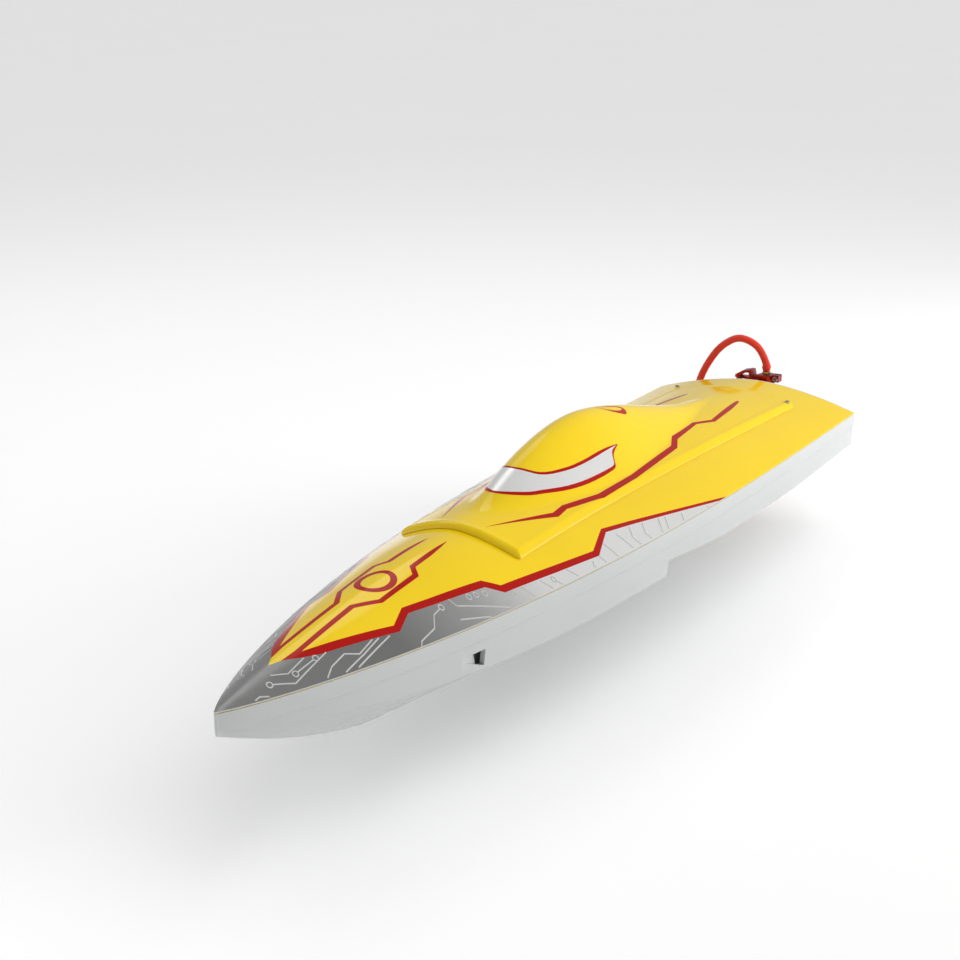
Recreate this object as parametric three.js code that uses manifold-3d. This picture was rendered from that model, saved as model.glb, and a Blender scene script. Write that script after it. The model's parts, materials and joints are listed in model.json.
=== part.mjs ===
// A self-righting radio-controlled speed boat: hull, deck, lift-off hatch with a cockpit, and running gear.
// Millimetres. +X is towards the bow, +Y is port, +Z is up. Inside the boat group x is 0 at the transom
// and z is 0 at the seam between hull and deck.
import * as THREE from 'three';
import { mergeVertices } from 'three/addons/utils/BufferGeometryUtils.js';
import Module from 'manifold-3d';

const wasm = await Module();
wasm.setup();

// ---------------------------------------------------------------- driving dimensions
const GAP = 0.3; // clearance between neighbouring pieces

// hull
const LENGTH = 620;
const HALF_BEAM = 75;
const PLAN_POWER = 3.2; // how full the deck outline is
const PLAN_TAPER = 0.85; // how fine the bow is
const STEM_HALF_WIDTH = 1;
const BAND_DEPTH = 9; // gunwale band under the seam
const BAND_LIP = 0.8;
const FLARE = 0.1; // how far the side leans in, per mm of height, forward of FLARE_X
const FLARE_X = 300;
const STEP_X = 295; // the step in the running surface
const PAD_HALF_WIDTH = 5; // flat keel pad
const STRAKES = [0.66, 0.36]; // as shares of the bottom's half-width
const STRAKE_DEPTH = 1.5;
const BOTTOM_BULGE = 1.2; // the bottom panels are slightly full
const HULL_WALL = 2.4;
const BOW_BLOCK_X = 575; // the bow is solid forward of this

// deck
const CROWN = 25.3; // height at its fullest
const CROWN_X = 440;
const CROWN_AFT = 15; // height at the transom
const CROWN_POWER = 1.75;
const DECK_EDGE = 0.8;
const DECK_WALL = 2;

// hatch and cockpit
const HATCH = {
  aft: 43, fore: 416, foreBow: 5, halfFore: 37.2, halfAft: 45, rise: 3.4, bulge: 1.6, wall: 2.2,
  screwHole: 1.2,
};
const LIP = { gap: 0.5, wall: 1.8, depth: 4 }; // the hatch's spigot in the deck's opening
const OPENING_INSET = 6; // from the hatch's edge to the opening in the deck
const COCKPIT = { x: 284, fore: 108, aft: 204, height: 29.6, halfWidth: 31 };
const SEAL = { width: 2, height: 0.7 };

// flood vent on the port bow
const VENT = { aft: 467.5, slot: 5, fore: 488, top: -15.2, bottom: -24.2, depth: 4 };

// running gear
const SHAFT_Z = -57;
const SHAFT_R = 2;
const PROP = { x: -8, radius: 18, hub: 4.2, length: 12 };
const MOTOR = { slope: THREE.MathUtils.degToRad(8), start: 218, radius: 14, axisX: 186, axisZ: -29 };
const PIVOT = new THREE.Vector2(-34, -5.7); // the rudder's axis, x and y
const RUDDER_BOTTOM = -82;
const TILLER = 21.3; // from the rudder's axis to its pushrod pin
const HORN = 16; // from the servo's axis to the pushrod pin
const ROD_Y = PIVOT.y - TILLER;
const ROD_Z = 4.4;
const SERVO = { x: 65, y: ROD_Y + HORN, length: 40, width: 20, bottom: -31, top: 1.3, axis: 10 };
const TAB = { y: 43, halfWidth: 11, length: 20, thickness: 1.5, knuckle: 1.9 };

// equipment
const BATTERY = { x: 280, length: 118, width: 44, bottom: -33, height: 24 };
const HOSE = { radius: 2.7, bore: 1.8 };

// ---------------------------------------------------------------- materials
const finish = (color, roughness, metalness) => () =>
  new THREE.MeshStandardMaterial({ color, roughness, metalness });
const greyGelcoat = finish(0xd8dcda, 0.25, 0);
const yellowGelcoat = finish(0xf2d021, 0.2, 0);
const redAnodised = finish(0xb3262a, 0.35, 0.8);
const aluminium = finish(0xb9bcc0, 0.4, 0.9);
const steel = finish(0x8d9094, 0.3, 1);
const brass = finish(0xc9a24a, 0.3, 1);
const redSilicone = finish(0xd6362b, 0.5, 0);
const blackPlastic = finish(0x1c1c1e, 0.5, 0);
const blackRubber = finish(0x202020, 0.8, 0);
const blueShrink = finish(0x1f4fa8, 0.4, 0);
const whiteFoam = finish(0xeeeeea, 0.9, 0);
const plywood = finish(0xc8a36a, 0.7, 0);
const copper = finish(0xb06a3a, 0.35, 1);

// ---------------------------------------------------------------- solids
const vec = (x, y, z) => new THREE.Vector3(x, y, z);

/** Position-only, merged, without empty faces and facing out, which is what every solid here is. */
function solid(geometry) {
  const bare = new THREE.BufferGeometry();
  bare.setAttribute('position', geometry.getAttribute('position').clone());
  if (geometry.index) bare.setIndex(geometry.index.clone());
  const merged = mergeVertices(bare, 1e-4);
  const p = merged.getAttribute('position');
  const index = [];
  let volume = 0;
  const [a, b, c] = [vec(), vec(), vec()];
  for (let i = 0; i < merged.index.count; i += 3) {
    const [u, v, w] = [0, 1, 2].map((k) => merged.index.getX(i + k));
    if (u === v || v === w || w === u) continue;
    index.push(u, v, w);
    [a, b, c].forEach((corner, k) => corner.fromBufferAttribute(p, [u, v, w][k]));
    volume += a.dot(b.cross(c));
  }
  merged.setIndex(volume < 0 ? index.reverse() : index);
  return merged;
}

function manifold(geometry) {
  const g = solid(geometry);
  return new wasm.Manifold(new wasm.Mesh({
    numProp: 3,
    vertProperties: new Float32Array(g.getAttribute('position').array),
    triVerts: new Uint32Array(g.index.array),
  }));
}

function combine(operation, base, tools) {
  let result = manifold(base);
  for (const tool of tools) result = result[operation](manifold(tool));
  const mesh = result.getMesh();
  const geometry = new THREE.BufferGeometry();
  geometry.setAttribute('position', new THREE.BufferAttribute(mesh.vertProperties, mesh.numProp));
  geometry.setIndex(new THREE.BufferAttribute(mesh.triVerts, 1));
  return geometry;
}
const cut = (base, ...tools) => combine('subtract', base, tools);
const join = (base, ...tools) => combine('add', base, tools);
const keep = (base, ...tools) => combine('intersect', base, tools);

/** A box from its low corner to its high corner. */
function block(x0, x1, y0, y1, z0, z1) {
  const g = new THREE.BoxGeometry(x1 - x0, y1 - y0, z1 - z0);
  return g.translate((x0 + x1) / 2, (y0 + y1) / 2, (z0 + z1) / 2);
}

/** Puts a solid made along +Y from the origin onto the line from a point in a direction. */
function aim(geometry, from, direction) {
  const turn = new THREE.Quaternion().setFromUnitVectors(vec(0, 1, 0), direction.clone().normalize());
  return geometry.applyQuaternion(turn).translate(from.x, from.y, from.z);
}

/** A turned piece: a profile of [radius, distance] pairs spun about the line from a point. */
function turned(profile, from, direction, sides = 12) {
  const points = profile.map(([r, d]) => new THREE.Vector2(r, d));
  return aim(new THREE.LatheGeometry(points, sides), from, direction);
}

const rod = (radius, from, to, sides = 12) => {
  const length = from.distanceTo(to);
  return turned([[0, 0], [radius, 0], [radius, length], [0, length]], from, to.clone().sub(from), sides);
};

const sleeve = (outer, inner, from, to, sides = 16) => {
  const d = from.distanceTo(to);
  const profile = [[inner, 0], [outer, 0], [outer, d], [inner, d], [inner, 0]];
  return turned(profile, from, to.clone().sub(from), sides);
};

/** A tube along a smooth route. */
function tube(points, radius, bore, steps, sides = 8) {
  const section = new THREE.Shape().absarc(0, 0, radius, 0, 2 * Math.PI);
  if (bore) section.holes.push(new THREE.Path().absarc(0, 0, bore, 0, 2 * Math.PI, true));
  const extrudePath = new THREE.CatmullRomCurve3(points, false, 'centripetal');
  return new THREE.ExtrudeGeometry(section, { steps, extrudePath, curveSegments: sides / 2 });
}

/** Faces that close a ring: strips between its two halves if it is paired, and otherwise any that fit. */
function capFaces(points, paired) {
  const count = points.length;
  if (paired) {
    const rows = Array.from({ length: count / 2 - 1 }, (_, k) => k);
    return rows.flatMap((k) => [[k, k + 1, count - 2 - k], [k, count - 2 - k, count - 1 - k]]);
  }
  const outline = points.map(([a, b]) => new THREE.Vector2(a, b));
  const clockwise = THREE.ShapeUtils.isClockWise(outline);
  return THREE.ShapeUtils.triangulateShape(outline, []).map((face) => {
    const sameWay = THREE.ShapeUtils.isClockWise(face.map((k) => outline[k])) === clockwise;
    return sameWay ? face : face.slice().reverse();
  });
}

/** A closed skin over rings of equal point count, each ring [[a, b], ...] at its own station. */
function loft(stations, ring, place = (s, [a, b]) => [s, a, b], paired = false) {
  const rings = stations.map(ring);
  const count = rings[0].length;
  const last = (rings.length - 1) * count;
  const positions = [];
  const index = [];
  rings.forEach((points, i) => points.forEach((p) => positions.push(...place(stations[i], p))));
  for (let i = 0; i + 1 < rings.length; i += 1) {
    for (let j = 0; j < count; j += 1) {
      const [a, b] = [i * count + j, i * count + ((j + 1) % count)];
      index.push(a, b, b + count, a, b + count, a + count);
    }
  }
  for (const [u, v, w] of capFaces(rings[0], paired)) index.push(w, v, u);
  for (const [u, v, w] of capFaces(rings.at(-1), paired)) index.push(last + u, last + v, last + w);
  const geometry = new THREE.BufferGeometry();
  geometry.setAttribute('position', new THREE.Float32BufferAttribute(positions, 3));
  geometry.setIndex(index);
  return geometry;
}

const range = (from, to, count) =>
  Array.from({ length: count }, (_, i) => from + ((to - from) * i) / (count - 1));
const mirrored = (points) => [...points, ...points.slice().reverse().map(([y, z]) => [-y, z])];
const past = (x, from, to) => Math.min(Math.max((x - from) / (to - from), 0), 1);
const smooth = (t) => t * t * (3 - 2 * t);

// ---------------------------------------------------------------- hull form
const halfBreadth = (x) =>
  Math.max(HALF_BEAM * (1 - past(x, 0, LENGTH) ** PLAN_POWER) ** PLAN_TAPER, STEM_HALF_WIDTH);

/** Lower edge of the side. The running surface steps up aft of stepX. */
const chineZ = (x, stepX) => {
  const fore = -29 + 20 * past(x, 352, LENGTH) ** 2.5;
  const aft = -22.5 - 3 * past(x, 0, 110) + 6.1 * past(x, 215, STEP_X) ** 1.2;
  return x > stepX ? fore : aft;
};
const keelZ = (x, stepX) =>
  (x > stepX ? -49 + 38 * past(x, 500, LENGTH) ** 1.4 : -47 + 4.5 * past(x, 215, STEP_X) ** 1.2);
const chineY = (x, stepX) => {
  const lean = FLARE * past(x, 0, FLARE_X) * (-chineZ(x, stepX) - BAND_DEPTH);
  return Math.max(halfBreadth(x) - BAND_LIP - lean, 0.8);
};
const padY = (x) => Math.min(PAD_HALF_WIDTH, 0.3 * halfBreadth(x));

function hullRing(x) {
  const y = halfBreadth(x);
  const [yc, zc, yk, zk] = [chineY(x, STEP_X), chineZ(x, STEP_X), padY(x), keelZ(x, STEP_X)];
  const lip = Math.min(BAND_LIP, 0.1 * y);
  const bandZ = Math.max(-BAND_DEPTH, zc + 1.5);
  const side = [[y, -GAP / 2], [y, bandZ], [Math.max(y - lip, yc), bandZ - 0.6], [yc, zc]];
  const rise = (zc - zk) / (yc - yk);
  const depth = STRAKE_DEPTH * smooth(1 - past(x, 440, 560)) + 0.05;
  for (const share of STRAKES) {
    const ys = yk + share * (yc - yk);
    const zs = zk + share * (zc - zk) - BOTTOM_BULGE * share * (1 - share);
    side.push([ys, zs], [ys, zs - depth], [ys - Math.min(depth / rise, 0.12 * yc), zs - depth]);
  }
  return mirrored([...side, [yk, zk]]);
}

/** The space inside the hull, a given distance in from its outer faces and open at the top. */
function hullSpace(wall, top = 40) {
  const stepX = STEP_X + wall;
  const xs = [wall, 110, 215, 240, 268, stepX, stepX + 0.1, 352, 410, 460, 500, 530, BOW_BLOCK_X - wall];
  return loft(xs, (x) => {
    const y = halfBreadth(x) - BAND_LIP - wall;
    const inner = chineY(x, stepX) - wall;
    const keel = [padY(x), keelZ(x, stepX) + wall];
    return mirrored([[y, top], [y, -BAND_DEPTH], [inner, chineZ(x, stepX) + wall], keel]);
  });
}

// ---------------------------------------------------------------- deck and hatch form
const crown = (x) => {
  const fore = CROWN * (1 - past(x, CROWN_X, LENGTH) ** 1.425) ** 0.9;
  const aft = CROWN - (CROWN - CROWN_AFT) * (1 - past(x, 0, CROWN_X)) ** 1.33;
  return Math.max(x > CROWN_X ? fore : aft, DECK_EDGE + 0.1);
};
const deckZ = (x, y) => {
  const t = Math.min(Math.abs(y) / halfBreadth(x), 1);
  return DECK_EDGE + (crown(x) - DECK_EDGE) * (1 - t ** CROWN_POWER);
};
const hatchHalf = (x) =>
  HATCH.halfFore + (HATCH.halfAft - HATCH.halfFore) * (1 - past(x, HATCH.aft, HATCH.fore)) ** 1.6;

/** The cockpit: a dome with a blunt front and a long fairing aft that narrows to a point. */
function cockpitZ(x, y) {
  const ahead = past(x, COCKPIT.x, COCKPIT.x + COCKPIT.fore);
  const behind = 1 - past(x, COCKPIT.x - COCKPIT.aft, COCKPIT.x);
  const height = x > COCKPIT.x ? 1 - ahead ** 1.87 : (1 - behind ** 1.67) ** 2.28;
  const width = COCKPIT.halfWidth * (x > COCKPIT.x ? Math.sqrt(1 - ahead ** 1.6) : 1 - behind ** 1.5);
  const across = Math.min(Math.abs(y) / Math.max(width, 0.01), 1);
  return COCKPIT.height * height * (1 - across ** 2) ** 1.24;
}
const hatchZ = (x, y) => {
  const t = Math.min(Math.abs(y) / hatchHalf(x), 1);
  const bulge = HATCH.bulge * smooth(past(x, 30, 120)) * smooth(1 - past(x, 330, 430));
  return deckZ(x, y) + HATCH.rise + bulge * (1 - t ** 2) + cockpitZ(x, y);
};

/** A solid between two height functions, over a plan outline given by its half-width. */
function layer(xs, half, top, bottom, across) {
  const shares = range(1, -1, across);
  return loft(xs, (x) => [
    ...shares.map((t) => [t * half(x), top(x, t * half(x))]),
    ...shares.slice().reverse().map((t) => [t * half(x), bottom(x, t * half(x))]),
  ], undefined, true);
}

/** The hatch's outline moved in by a distance, as a layer whose front edge bows forward. */
function hatchLayer(inset, top, bottom, along, across) {
  const [aft, fore] = [HATCH.aft + inset, HATCH.fore - inset];
  const half = (x) => hatchHalf(x) - inset;
  const flat = layer(range(aft, fore, along), half, () => 1, () => 0, across);
  const p = flat.getAttribute('position');
  for (let i = 0; i < p.count; i += 1) {
    const y = p.getY(i);
    const bow = HATCH.foreBow * (1 - (y / half(fore)) ** 2) * past(p.getX(i), COCKPIT.x, fore) ** 3;
    const x = p.getX(i) + Math.max(bow, 0);
    p.setXYZ(i, x, y, p.getZ(i) > 0.5 ? top(x, y) : bottom(x, y));
  }
  return flat;
}

// ---------------------------------------------------------------- the boat's node list
const boat = new THREE.Group();
function add(name, geometry, material) {
  const mesh = new THREE.Mesh(solid(geometry), material());
  mesh.name = name;
  boat.add(mesh);
}

// ---------------------------------------------------------------- shared places
const shaft = (x, y = 0) => vec(x, y, SHAFT_Z);
const driveLine = [shaft(39), vec(70, 0, -54.5), vec(105, 0, -48), vec(140, 0, -38.5), vec(168, 0, -31.7)];
const motorAxis = vec(Math.cos(MOTOR.slope), 0, Math.sin(MOTOR.slope));
const onMotorAxis = (x) =>
  vec(x, 0, MOTOR.axisZ + (x - MOTOR.axisX) * Math.tan(MOTOR.slope));
driveLine.push(onMotorAxis(MOTOR.axisX));
const STRUT = { fore: 50, aft: 2, barrelFore: 38, barrelAft: 8, radius: 5, plate: 2 };
const strutScrewX = [6, 46];
const keelBottom = keelZ(0, STEP_X);
const bracketPlate = { y0: PIVOT.y - 14, y1: PIVOT.y + 14, z0: -27, z1: 6.5, thickness: 3 };
const bracketScrews = [-9.5, 9.5].flatMap((dy) => [-22, -4].map((z) => vec(0, PIVOT.y + dy, z)));
const SCREW_HOLE = 1.9; // for 3 mm screws
const inlet = { y: -51.8, z: -10, out: -14 };
const outletPlace = { y: 40, z: -12 };
const drainPlace = { y: 18, z: -30 };
const FITTING_R = 2.6; // the barrels that pass through the transom

// ---------------------------------------------------------------- hull
function makeHull() {
  const xs = [
    0, 60, 120, 170, 215, 235, 255, 275, STEP_X, STEP_X + 0.1, 325, 352, 380, 410, 440, 465, 490,
    510, 530, 548, 565, 580, 592, 602, 610, 616, LENGTH,
  ];
  const ramp = new THREE.Shape([
    [VENT.aft, 0], [VENT.aft, -VENT.depth], [VENT.fore, 0.6], [VENT.fore, 6], [VENT.aft, 6],
  ].map(([x, y]) => new THREE.Vector2(x, y)));
  const height = VENT.top - VENT.bottom;
  const scoop = new THREE.ExtrudeGeometry(ramp, { depth: height, bevelEnabled: false });
  const y = halfBreadth(VENT.aft) - BAND_LIP - 1;
  const foreY = halfBreadth(VENT.fore) - BAND_LIP;
  const slope = (foreY - y) / (VENT.fore - VENT.aft);
  const p = scoop.getAttribute('position');
  for (let i = 0; i < p.count; i += 1) {
    const share = past(p.getX(i), VENT.aft, VENT.fore);
    const z = VENT.bottom + p.getZ(i) * (1 - share) + share * (height - 1);
    p.setXYZ(i, p.getX(i), p.getY(i) + y + slope * (p.getX(i) - VENT.aft), z);
  }
  const slot = block(VENT.aft, VENT.aft + VENT.slot, y - 14, y + 6, VENT.bottom + 0.8, VENT.top - 0.8);
  const holes = [
    tube(driveLine, 3.7, 0, 20),
    ...strutScrewX.map((x) => rod(SCREW_HOLE, vec(x, 0, -60), vec(x, 0, -30))),
    ...bracketScrews.map(({ y: sy, z }) => rod(SCREW_HOLE, vec(-5, sy, z), vec(10, sy, z))),
    rod(FITTING_R + GAP, vec(-5, inlet.y, inlet.z), vec(10, inlet.y, inlet.z)),
    rod(FITTING_R + GAP, vec(-5, outletPlace.y, outletPlace.z), vec(10, outletPlace.y, outletPlace.z)),
    rod(3.3, vec(-5, drainPlace.y, drainPlace.z), vec(10, drainPlace.y, drainPlace.z)),
  ];
  add('hull_shell', cut(loft(xs, hullRing), hullSpace(HULL_WALL), scoop, slot, ...holes), greyGelcoat);
}

function makeDeck() {
  const xs = [
    0, 40, 90, 140, 190, 240, 290, 340, 385, 420, 450, 475, 498, 520, 540, 558, 574, 588, 600, 609, 616,
    LENGTH,
  ];
  const body = layer(xs, halfBreadth, deckZ, () => GAP / 2, 17);
  const hollow = layer(
    [2.5, ...xs.slice(1, -6), 584],
    (x) => halfBreadth(x) - 3.5,
    (x, y) => Math.max(deckZ(x, y) - DECK_WALL, -0.5),
    () => -1,
    15,
  );
  const opening = hatchLayer(OPENING_INSET, () => 60, () => -10, 10, 7);
  const rodHole = rod(2.4, vec(-5, ROD_Y, ROD_Z), vec(10, ROD_Y, ROD_Z));
  add('deck_shell', cut(body, hollow, opening, rodHole, ...hatchScrewHoles()), yellowGelcoat);
}

const hatchScrew = (side, z) => vec(HATCH.aft + 4.2, side * (HATCH.halfAft - 3.2), z);
const hatchScrewHoles = () =>
  [1, -1].map((side) => rod(HATCH.screwHole, hatchScrew(side, -10), hatchScrew(side, 30)));

function makeHatch() {
  const under = SEAL.height + 3 * GAP;
  const cover = hatchLayer(0, (x, y) => {
    const edge = Math.min(
      hatchHalf(x) - Math.abs(y),
      x - HATCH.aft,
      HATCH.fore + HATCH.foreBow * (1 - (y / HATCH.halfFore) ** 2) - x,
    );
    return hatchZ(x, y) - 1.2 * (1 - past(edge, 0, 2)) ** 2;
  }, (x, y) => deckZ(x, y) + under, 26, 17);
  const hollow = hatchLayer(3, (x, y) => hatchZ(x, y) - HATCH.wall, (x, y) => deckZ(x, y) - 20, 20, 15);
  const inset = OPENING_INSET + LIP.gap;
  const lip = cut(
    hatchLayer(inset, (x, y) => hatchZ(x, y) - 0.8, (x, y) => deckZ(x, y) - LIP.depth, 14, 13),
    hatchLayer(inset + LIP.wall, (x, y) => hatchZ(x, y) + 5, (x, y) => deckZ(x, y) - 9, 14, 13),
  );
  const screwHoles = hatchScrewHoles();
  add('hatch_cover', cut(join(cut(cover, hollow), lip), ...screwHoles), yellowGelcoat);
  const tape = (edge, extra) => hatchLayer(
    edge,
    (x, y) => deckZ(x, y) + 1.5 * GAP + SEAL.height + extra,
    (x, y) => deckZ(x, y) + 1.5 * GAP - extra,
    14,
    9,
  );
  add('hatch_seal', cut(tape(0.5, 0), tape(0.5 + SEAL.width, 2), ...screwHoles), blackRubber);
  for (const [name, side] of [['hatch_screw_left', 1], ['hatch_screw_right', -1]]) {
    const seat = hatchZ(hatchScrew(side, 0).x, hatchScrew(side, 0).y) + GAP;
    const profile = [[0, -9], [0.9, -9], [0.9, 0.1], [1.7, 0.1], [1.7, 0.6], [1.2, 1.1], [0, 1.1]];
    add(name, turned(profile, hatchScrew(side, seat), vec(0, 0, 1)), steel);
  }
}

// ---------------------------------------------------------------- what the hull holds
/** Trims a piece to the inside of the hull, a gap off its wall. */
const insideHull = (geometry) => keep(geometry, hullSpace(HULL_WALL + 1.5 * GAP, -1));

function makeHullFittings() {
  const tank = { y: 38, aft: 192, fore: 500, wall: 1.6, top: -1.5 };
  const chamber = join(
    block(tank.aft, tank.fore, tank.y, tank.y + tank.wall, -60, tank.top),
    block(tank.aft, tank.fore, tank.y, 80, tank.top - tank.wall, tank.top),
    block(tank.aft, tank.aft + tank.wall, tank.y, 80, -60, tank.top),
    block(tank.fore - tank.wall, tank.fore, tank.y, 80, -60, tank.top),
  );
  add('flood_chamber', insideHull(chamber), greyGelcoat);
  add('bow_foam', insideHull(block(506, 568, -60, 60, -60, -2)), whiteFoam);
  add('side_foam', insideHull(block(210, 400, -80, -40, -60, -3)), whiteFoam);
}

function makeBattery() {
  const half = BATTERY.width / 2;
  const [x0, x1] = [BATTERY.x, BATTERY.x + BATTERY.length];
  const floor = BATTERY.bottom - GAP;
  const rib = (x) => block(x, x + 3, -half - 8, half + 8, -60, floor - 2);
  const tray = join(
    block(x0 - 4, x1 + 4, -half - 4, half + 4, floor - 2, floor),
    rib(x0 - 2),
    rib(x0 + BATTERY.length / 2),
    rib(x1 - 2),
    block(x1 + GAP, x1 + 3, -half, half, floor - 1, floor + 8),
  );
  add('battery_tray', insideHull(tray), plywood);
  add('battery', block(x0, x1, -half, half, BATTERY.bottom, BATTERY.bottom + BATTERY.height), blueShrink);
  for (const [name, x] of [['battery_strap_aft', x0 + 24], ['battery_strap_fore', x0 + 84]]) {
    const [w, low, high] = [half + 4.4, floor - 2 - GAP, BATTERY.bottom + BATTERY.height + GAP];
    const loop = cut(
      block(x, x + 18, -w - 1.2, w + 1.2, low - 1.2, high + 1.2),
      block(x - 1, x + 19, -w, w, low, high),
    );
    add(name, loop, blackRubber);
  }
}

function makeElectronics() {
  const shelf = -25;
  add('equipment_shelf', insideHull(block(120, 200, -64, -30, -60, shelf)), plywood);
  const fins = range(-58, -36, 7).map((y) => block(124, 174, y, y + 2, -11, -7));
  add('speed_controller', join(block(122, 176, -62, -32, shelf + GAP, -10.5), ...fins), blackPlastic);
  add('receiver_shelf', insideHull(block(120, 160, 28, 58, -60, shelf)), plywood);
  add('receiver', block(121, 159, 30, 54, shelf + GAP, -11), blackPlastic);
  const at = { x: 182, y: -44, z: shelf + GAP };
  add('power_switch', cut(
    block(at.x, at.x + 14, at.y - 3.5, at.y + 3.5, at.z, at.z + 7),
    block(at.x + 3, at.x + 11, at.y - 1.9, at.y + 1.9, at.z + 4.5, at.z + 8),
  ), blackPlastic);
  const slider = block(at.x + 3.4, at.x + 7, at.y - 1.6, at.y + 1.6, at.z + 4.8, at.z + 9);
  add('switch_slider', slider, redSilicone);
}

function makeServo() {
  const [x0, x1] = [SERVO.x, SERVO.x + SERVO.length];
  const [y0, y1] = [SERVO.y - SERVO.width / 2, SERVO.y + SERVO.width / 2];
  const ledge = -9;
  const rib = (x) => block(x, x + 2.5, y0 - 8, y1 + 8, -60, ledge);
  const frame = cut(
    join(block(x0 - 9, x1 + 9, y0 - 5, y1 + 5, ledge - 2, ledge), rib(x0 - 9), rib(x1 + 6.5)),
    block(x0 - 0.5, x1 + 0.5, y0 - 0.5, y1 + 0.5, ledge - 5, ledge + 5),
    tube(driveLine, 4.5, 0, 20),
  );
  add('servo_mount', insideHull(frame), plywood);
  const axis = vec(x0 + SERVO.axis, SERVO.y, 0);
  const up = vec(0, 0, 1);
  const body = join(
    block(x0, x1, y0, y1, SERVO.bottom, SERVO.top - 4),
    block(x0 - 7, x1 + 7, y0 + 1, y1 - 1, ledge + GAP, ledge + 3),
    turned([[0, 0], [7, 0], [7, 3], [0, 3]], axis.clone().setZ(SERVO.top - 4.5), up, 20),
  );
  add('steering_servo', body, blackPlastic);
  const hornZ = SERVO.top - 1;
  const arm = block(axis.x - 3, axis.x + 3, SERVO.y - HORN, SERVO.y, hornZ, hornZ + 2);
  const tip = turned([[0, 0], [3, 0], [3, 2], [0, 2]], vec(axis.x, ROD_Y, hornZ), up);
  const hub = turned([[0, 0], [4.5, 0], [4.5, 3.5], [0, 3.5]], axis.clone().setZ(hornZ), up);
  const screw = turned([[0, 0], [2, 0], [2, 1.5], [0, 1.5]], axis.clone().setZ(hornZ + 3), up);
  add('servo_horn', join(arm, tip, hub, screw), blackPlastic);
}

function makeMotor() {
  const [s, r] = [MOTOR.start, MOTOR.radius];
  const from = onMotorAxis(s);
  const can = turned([
    [0, 0], [4.5, 0], [4.5, 2], [r - 1, 2], [r, 3], [r, 46], [r - 1, 48], [4, 48], [4, 50], [0, 50],
  ], from, motorAxis, 24);
  add('motor', can, aluminium);
  const jacketFrom = onMotorAxis(s + 12);
  const jacketTo = onMotorAxis(s + 38);
  const nipple = (x) => {
    const foot = onMotorAxis(x);
    return rod(1.6, foot.clone().setZ(foot.z + r + 1), foot.clone().setZ(1), 10);
  };
  const jacket = join(sleeve(r + 2.6, r + GAP, jacketFrom, jacketTo, 24), nipple(s + 16), nipple(s + 34));
  add('cooling_jacket', jacket, redAnodised);
  const wall = { x: s - 3.5, half: 20 };
  const plate = block(wall.x - 2, wall.x + 0.5, -wall.half, wall.half, -60, -6);
  const feet = [1, -1].map((side) => block(
    wall.x - 2, wall.x + 16, Math.min(side * 17.5, side * 20), Math.max(side * 17.5, side * 20), -60, -16,
  ));
  const bore = rod(6.5, onMotorAxis(wall.x - 8), onMotorAxis(wall.x + 8), 20);
  add('motor_mount', insideHull(cut(join(plate, ...feet), bore)), aluminium);
  add('motor_shaft', rod(SHAFT_R, onMotorAxis(s - 0.3), onMotorAxis(s - 14)), steel);
  const grip = turned([
    [0, 0], [4.6, 0], [4.6, 7], [3.6, 8], [4.6, 9], [4.6, 14], [0, 14],
  ], onMotorAxis(s - 14.3), motorAxis.clone().negate());
  add('coupler', grip, steel);
}

function makeDrive() {
  add('stuffing_tube', tube(driveLine, 3.2, 2.2, 20), brass);
  const cableLine = [...driveLine, onMotorAxis(MOTOR.start - 28.6)];
  const cable = new THREE.CatmullRomCurve3(cableLine, false, 'centripetal');
  add('drive_cable', tube(cable.getSpacedPoints(8), 1.6, 0, 20, 6), steel);
  const [keel, plate] = [keelBottom - GAP, STRUT.plate];
  const strut = cut(
    join(
      block(STRUT.aft, STRUT.fore, -6, 6, keel - plate, keel),
      block(STRUT.barrelAft + 5, STRUT.barrelFore - 3, -1.6, 1.6, SHAFT_Z + 3, keel - 1),
      rod(STRUT.radius, shaft(STRUT.barrelAft), shaft(STRUT.barrelFore), 20),
    ),
    rod(SHAFT_R + 0.6, shaft(STRUT.barrelAft - 5), shaft(STRUT.barrelFore + 5), 16),
    ...strutScrewX.map((x) => rod(SCREW_HOLE, vec(x, 0, keel - 5), vec(x, 0, keel + 5))),
  );
  add('strut', strut, redAnodised);
  [['strut_screw_aft', strutScrewX[0]], ['strut_screw_fore', strutScrewX[1]]].forEach(([name, x]) => {
    const profile = [[0, -1.8], [2.7, -1.8], [2.7, 0], [1.5, 0], [1.5, 8], [0, 8]];
    add(name, turned(profile, vec(x, 0, keel - plate - GAP), vec(0, 0, 1)), steel);
  });
  add('prop_shaft', rod(SHAFT_R, shaft(PROP.x - PROP.length / 2 - 7), shaft(STRUT.barrelFore - 1)), steel);
  const aft = vec(-1, 0, 0);
  const dog = turned([[2.3, 0], [4.2, 0], [4.2, 5], [2.3, 5], [2.3, 0]], shaft(4), aft);
  add('drive_dog', dog, steel);
  add('propeller', makePropeller(), copper);
  const nut = [[2.8, 0], [3.9, 0], [3.9, 4], [2.8, 4.4], [2.8, 0]];
  add('prop_nut', turned(nut, shaft(PROP.x - PROP.length / 2 - GAP), aft, 6), steel);
}

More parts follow.
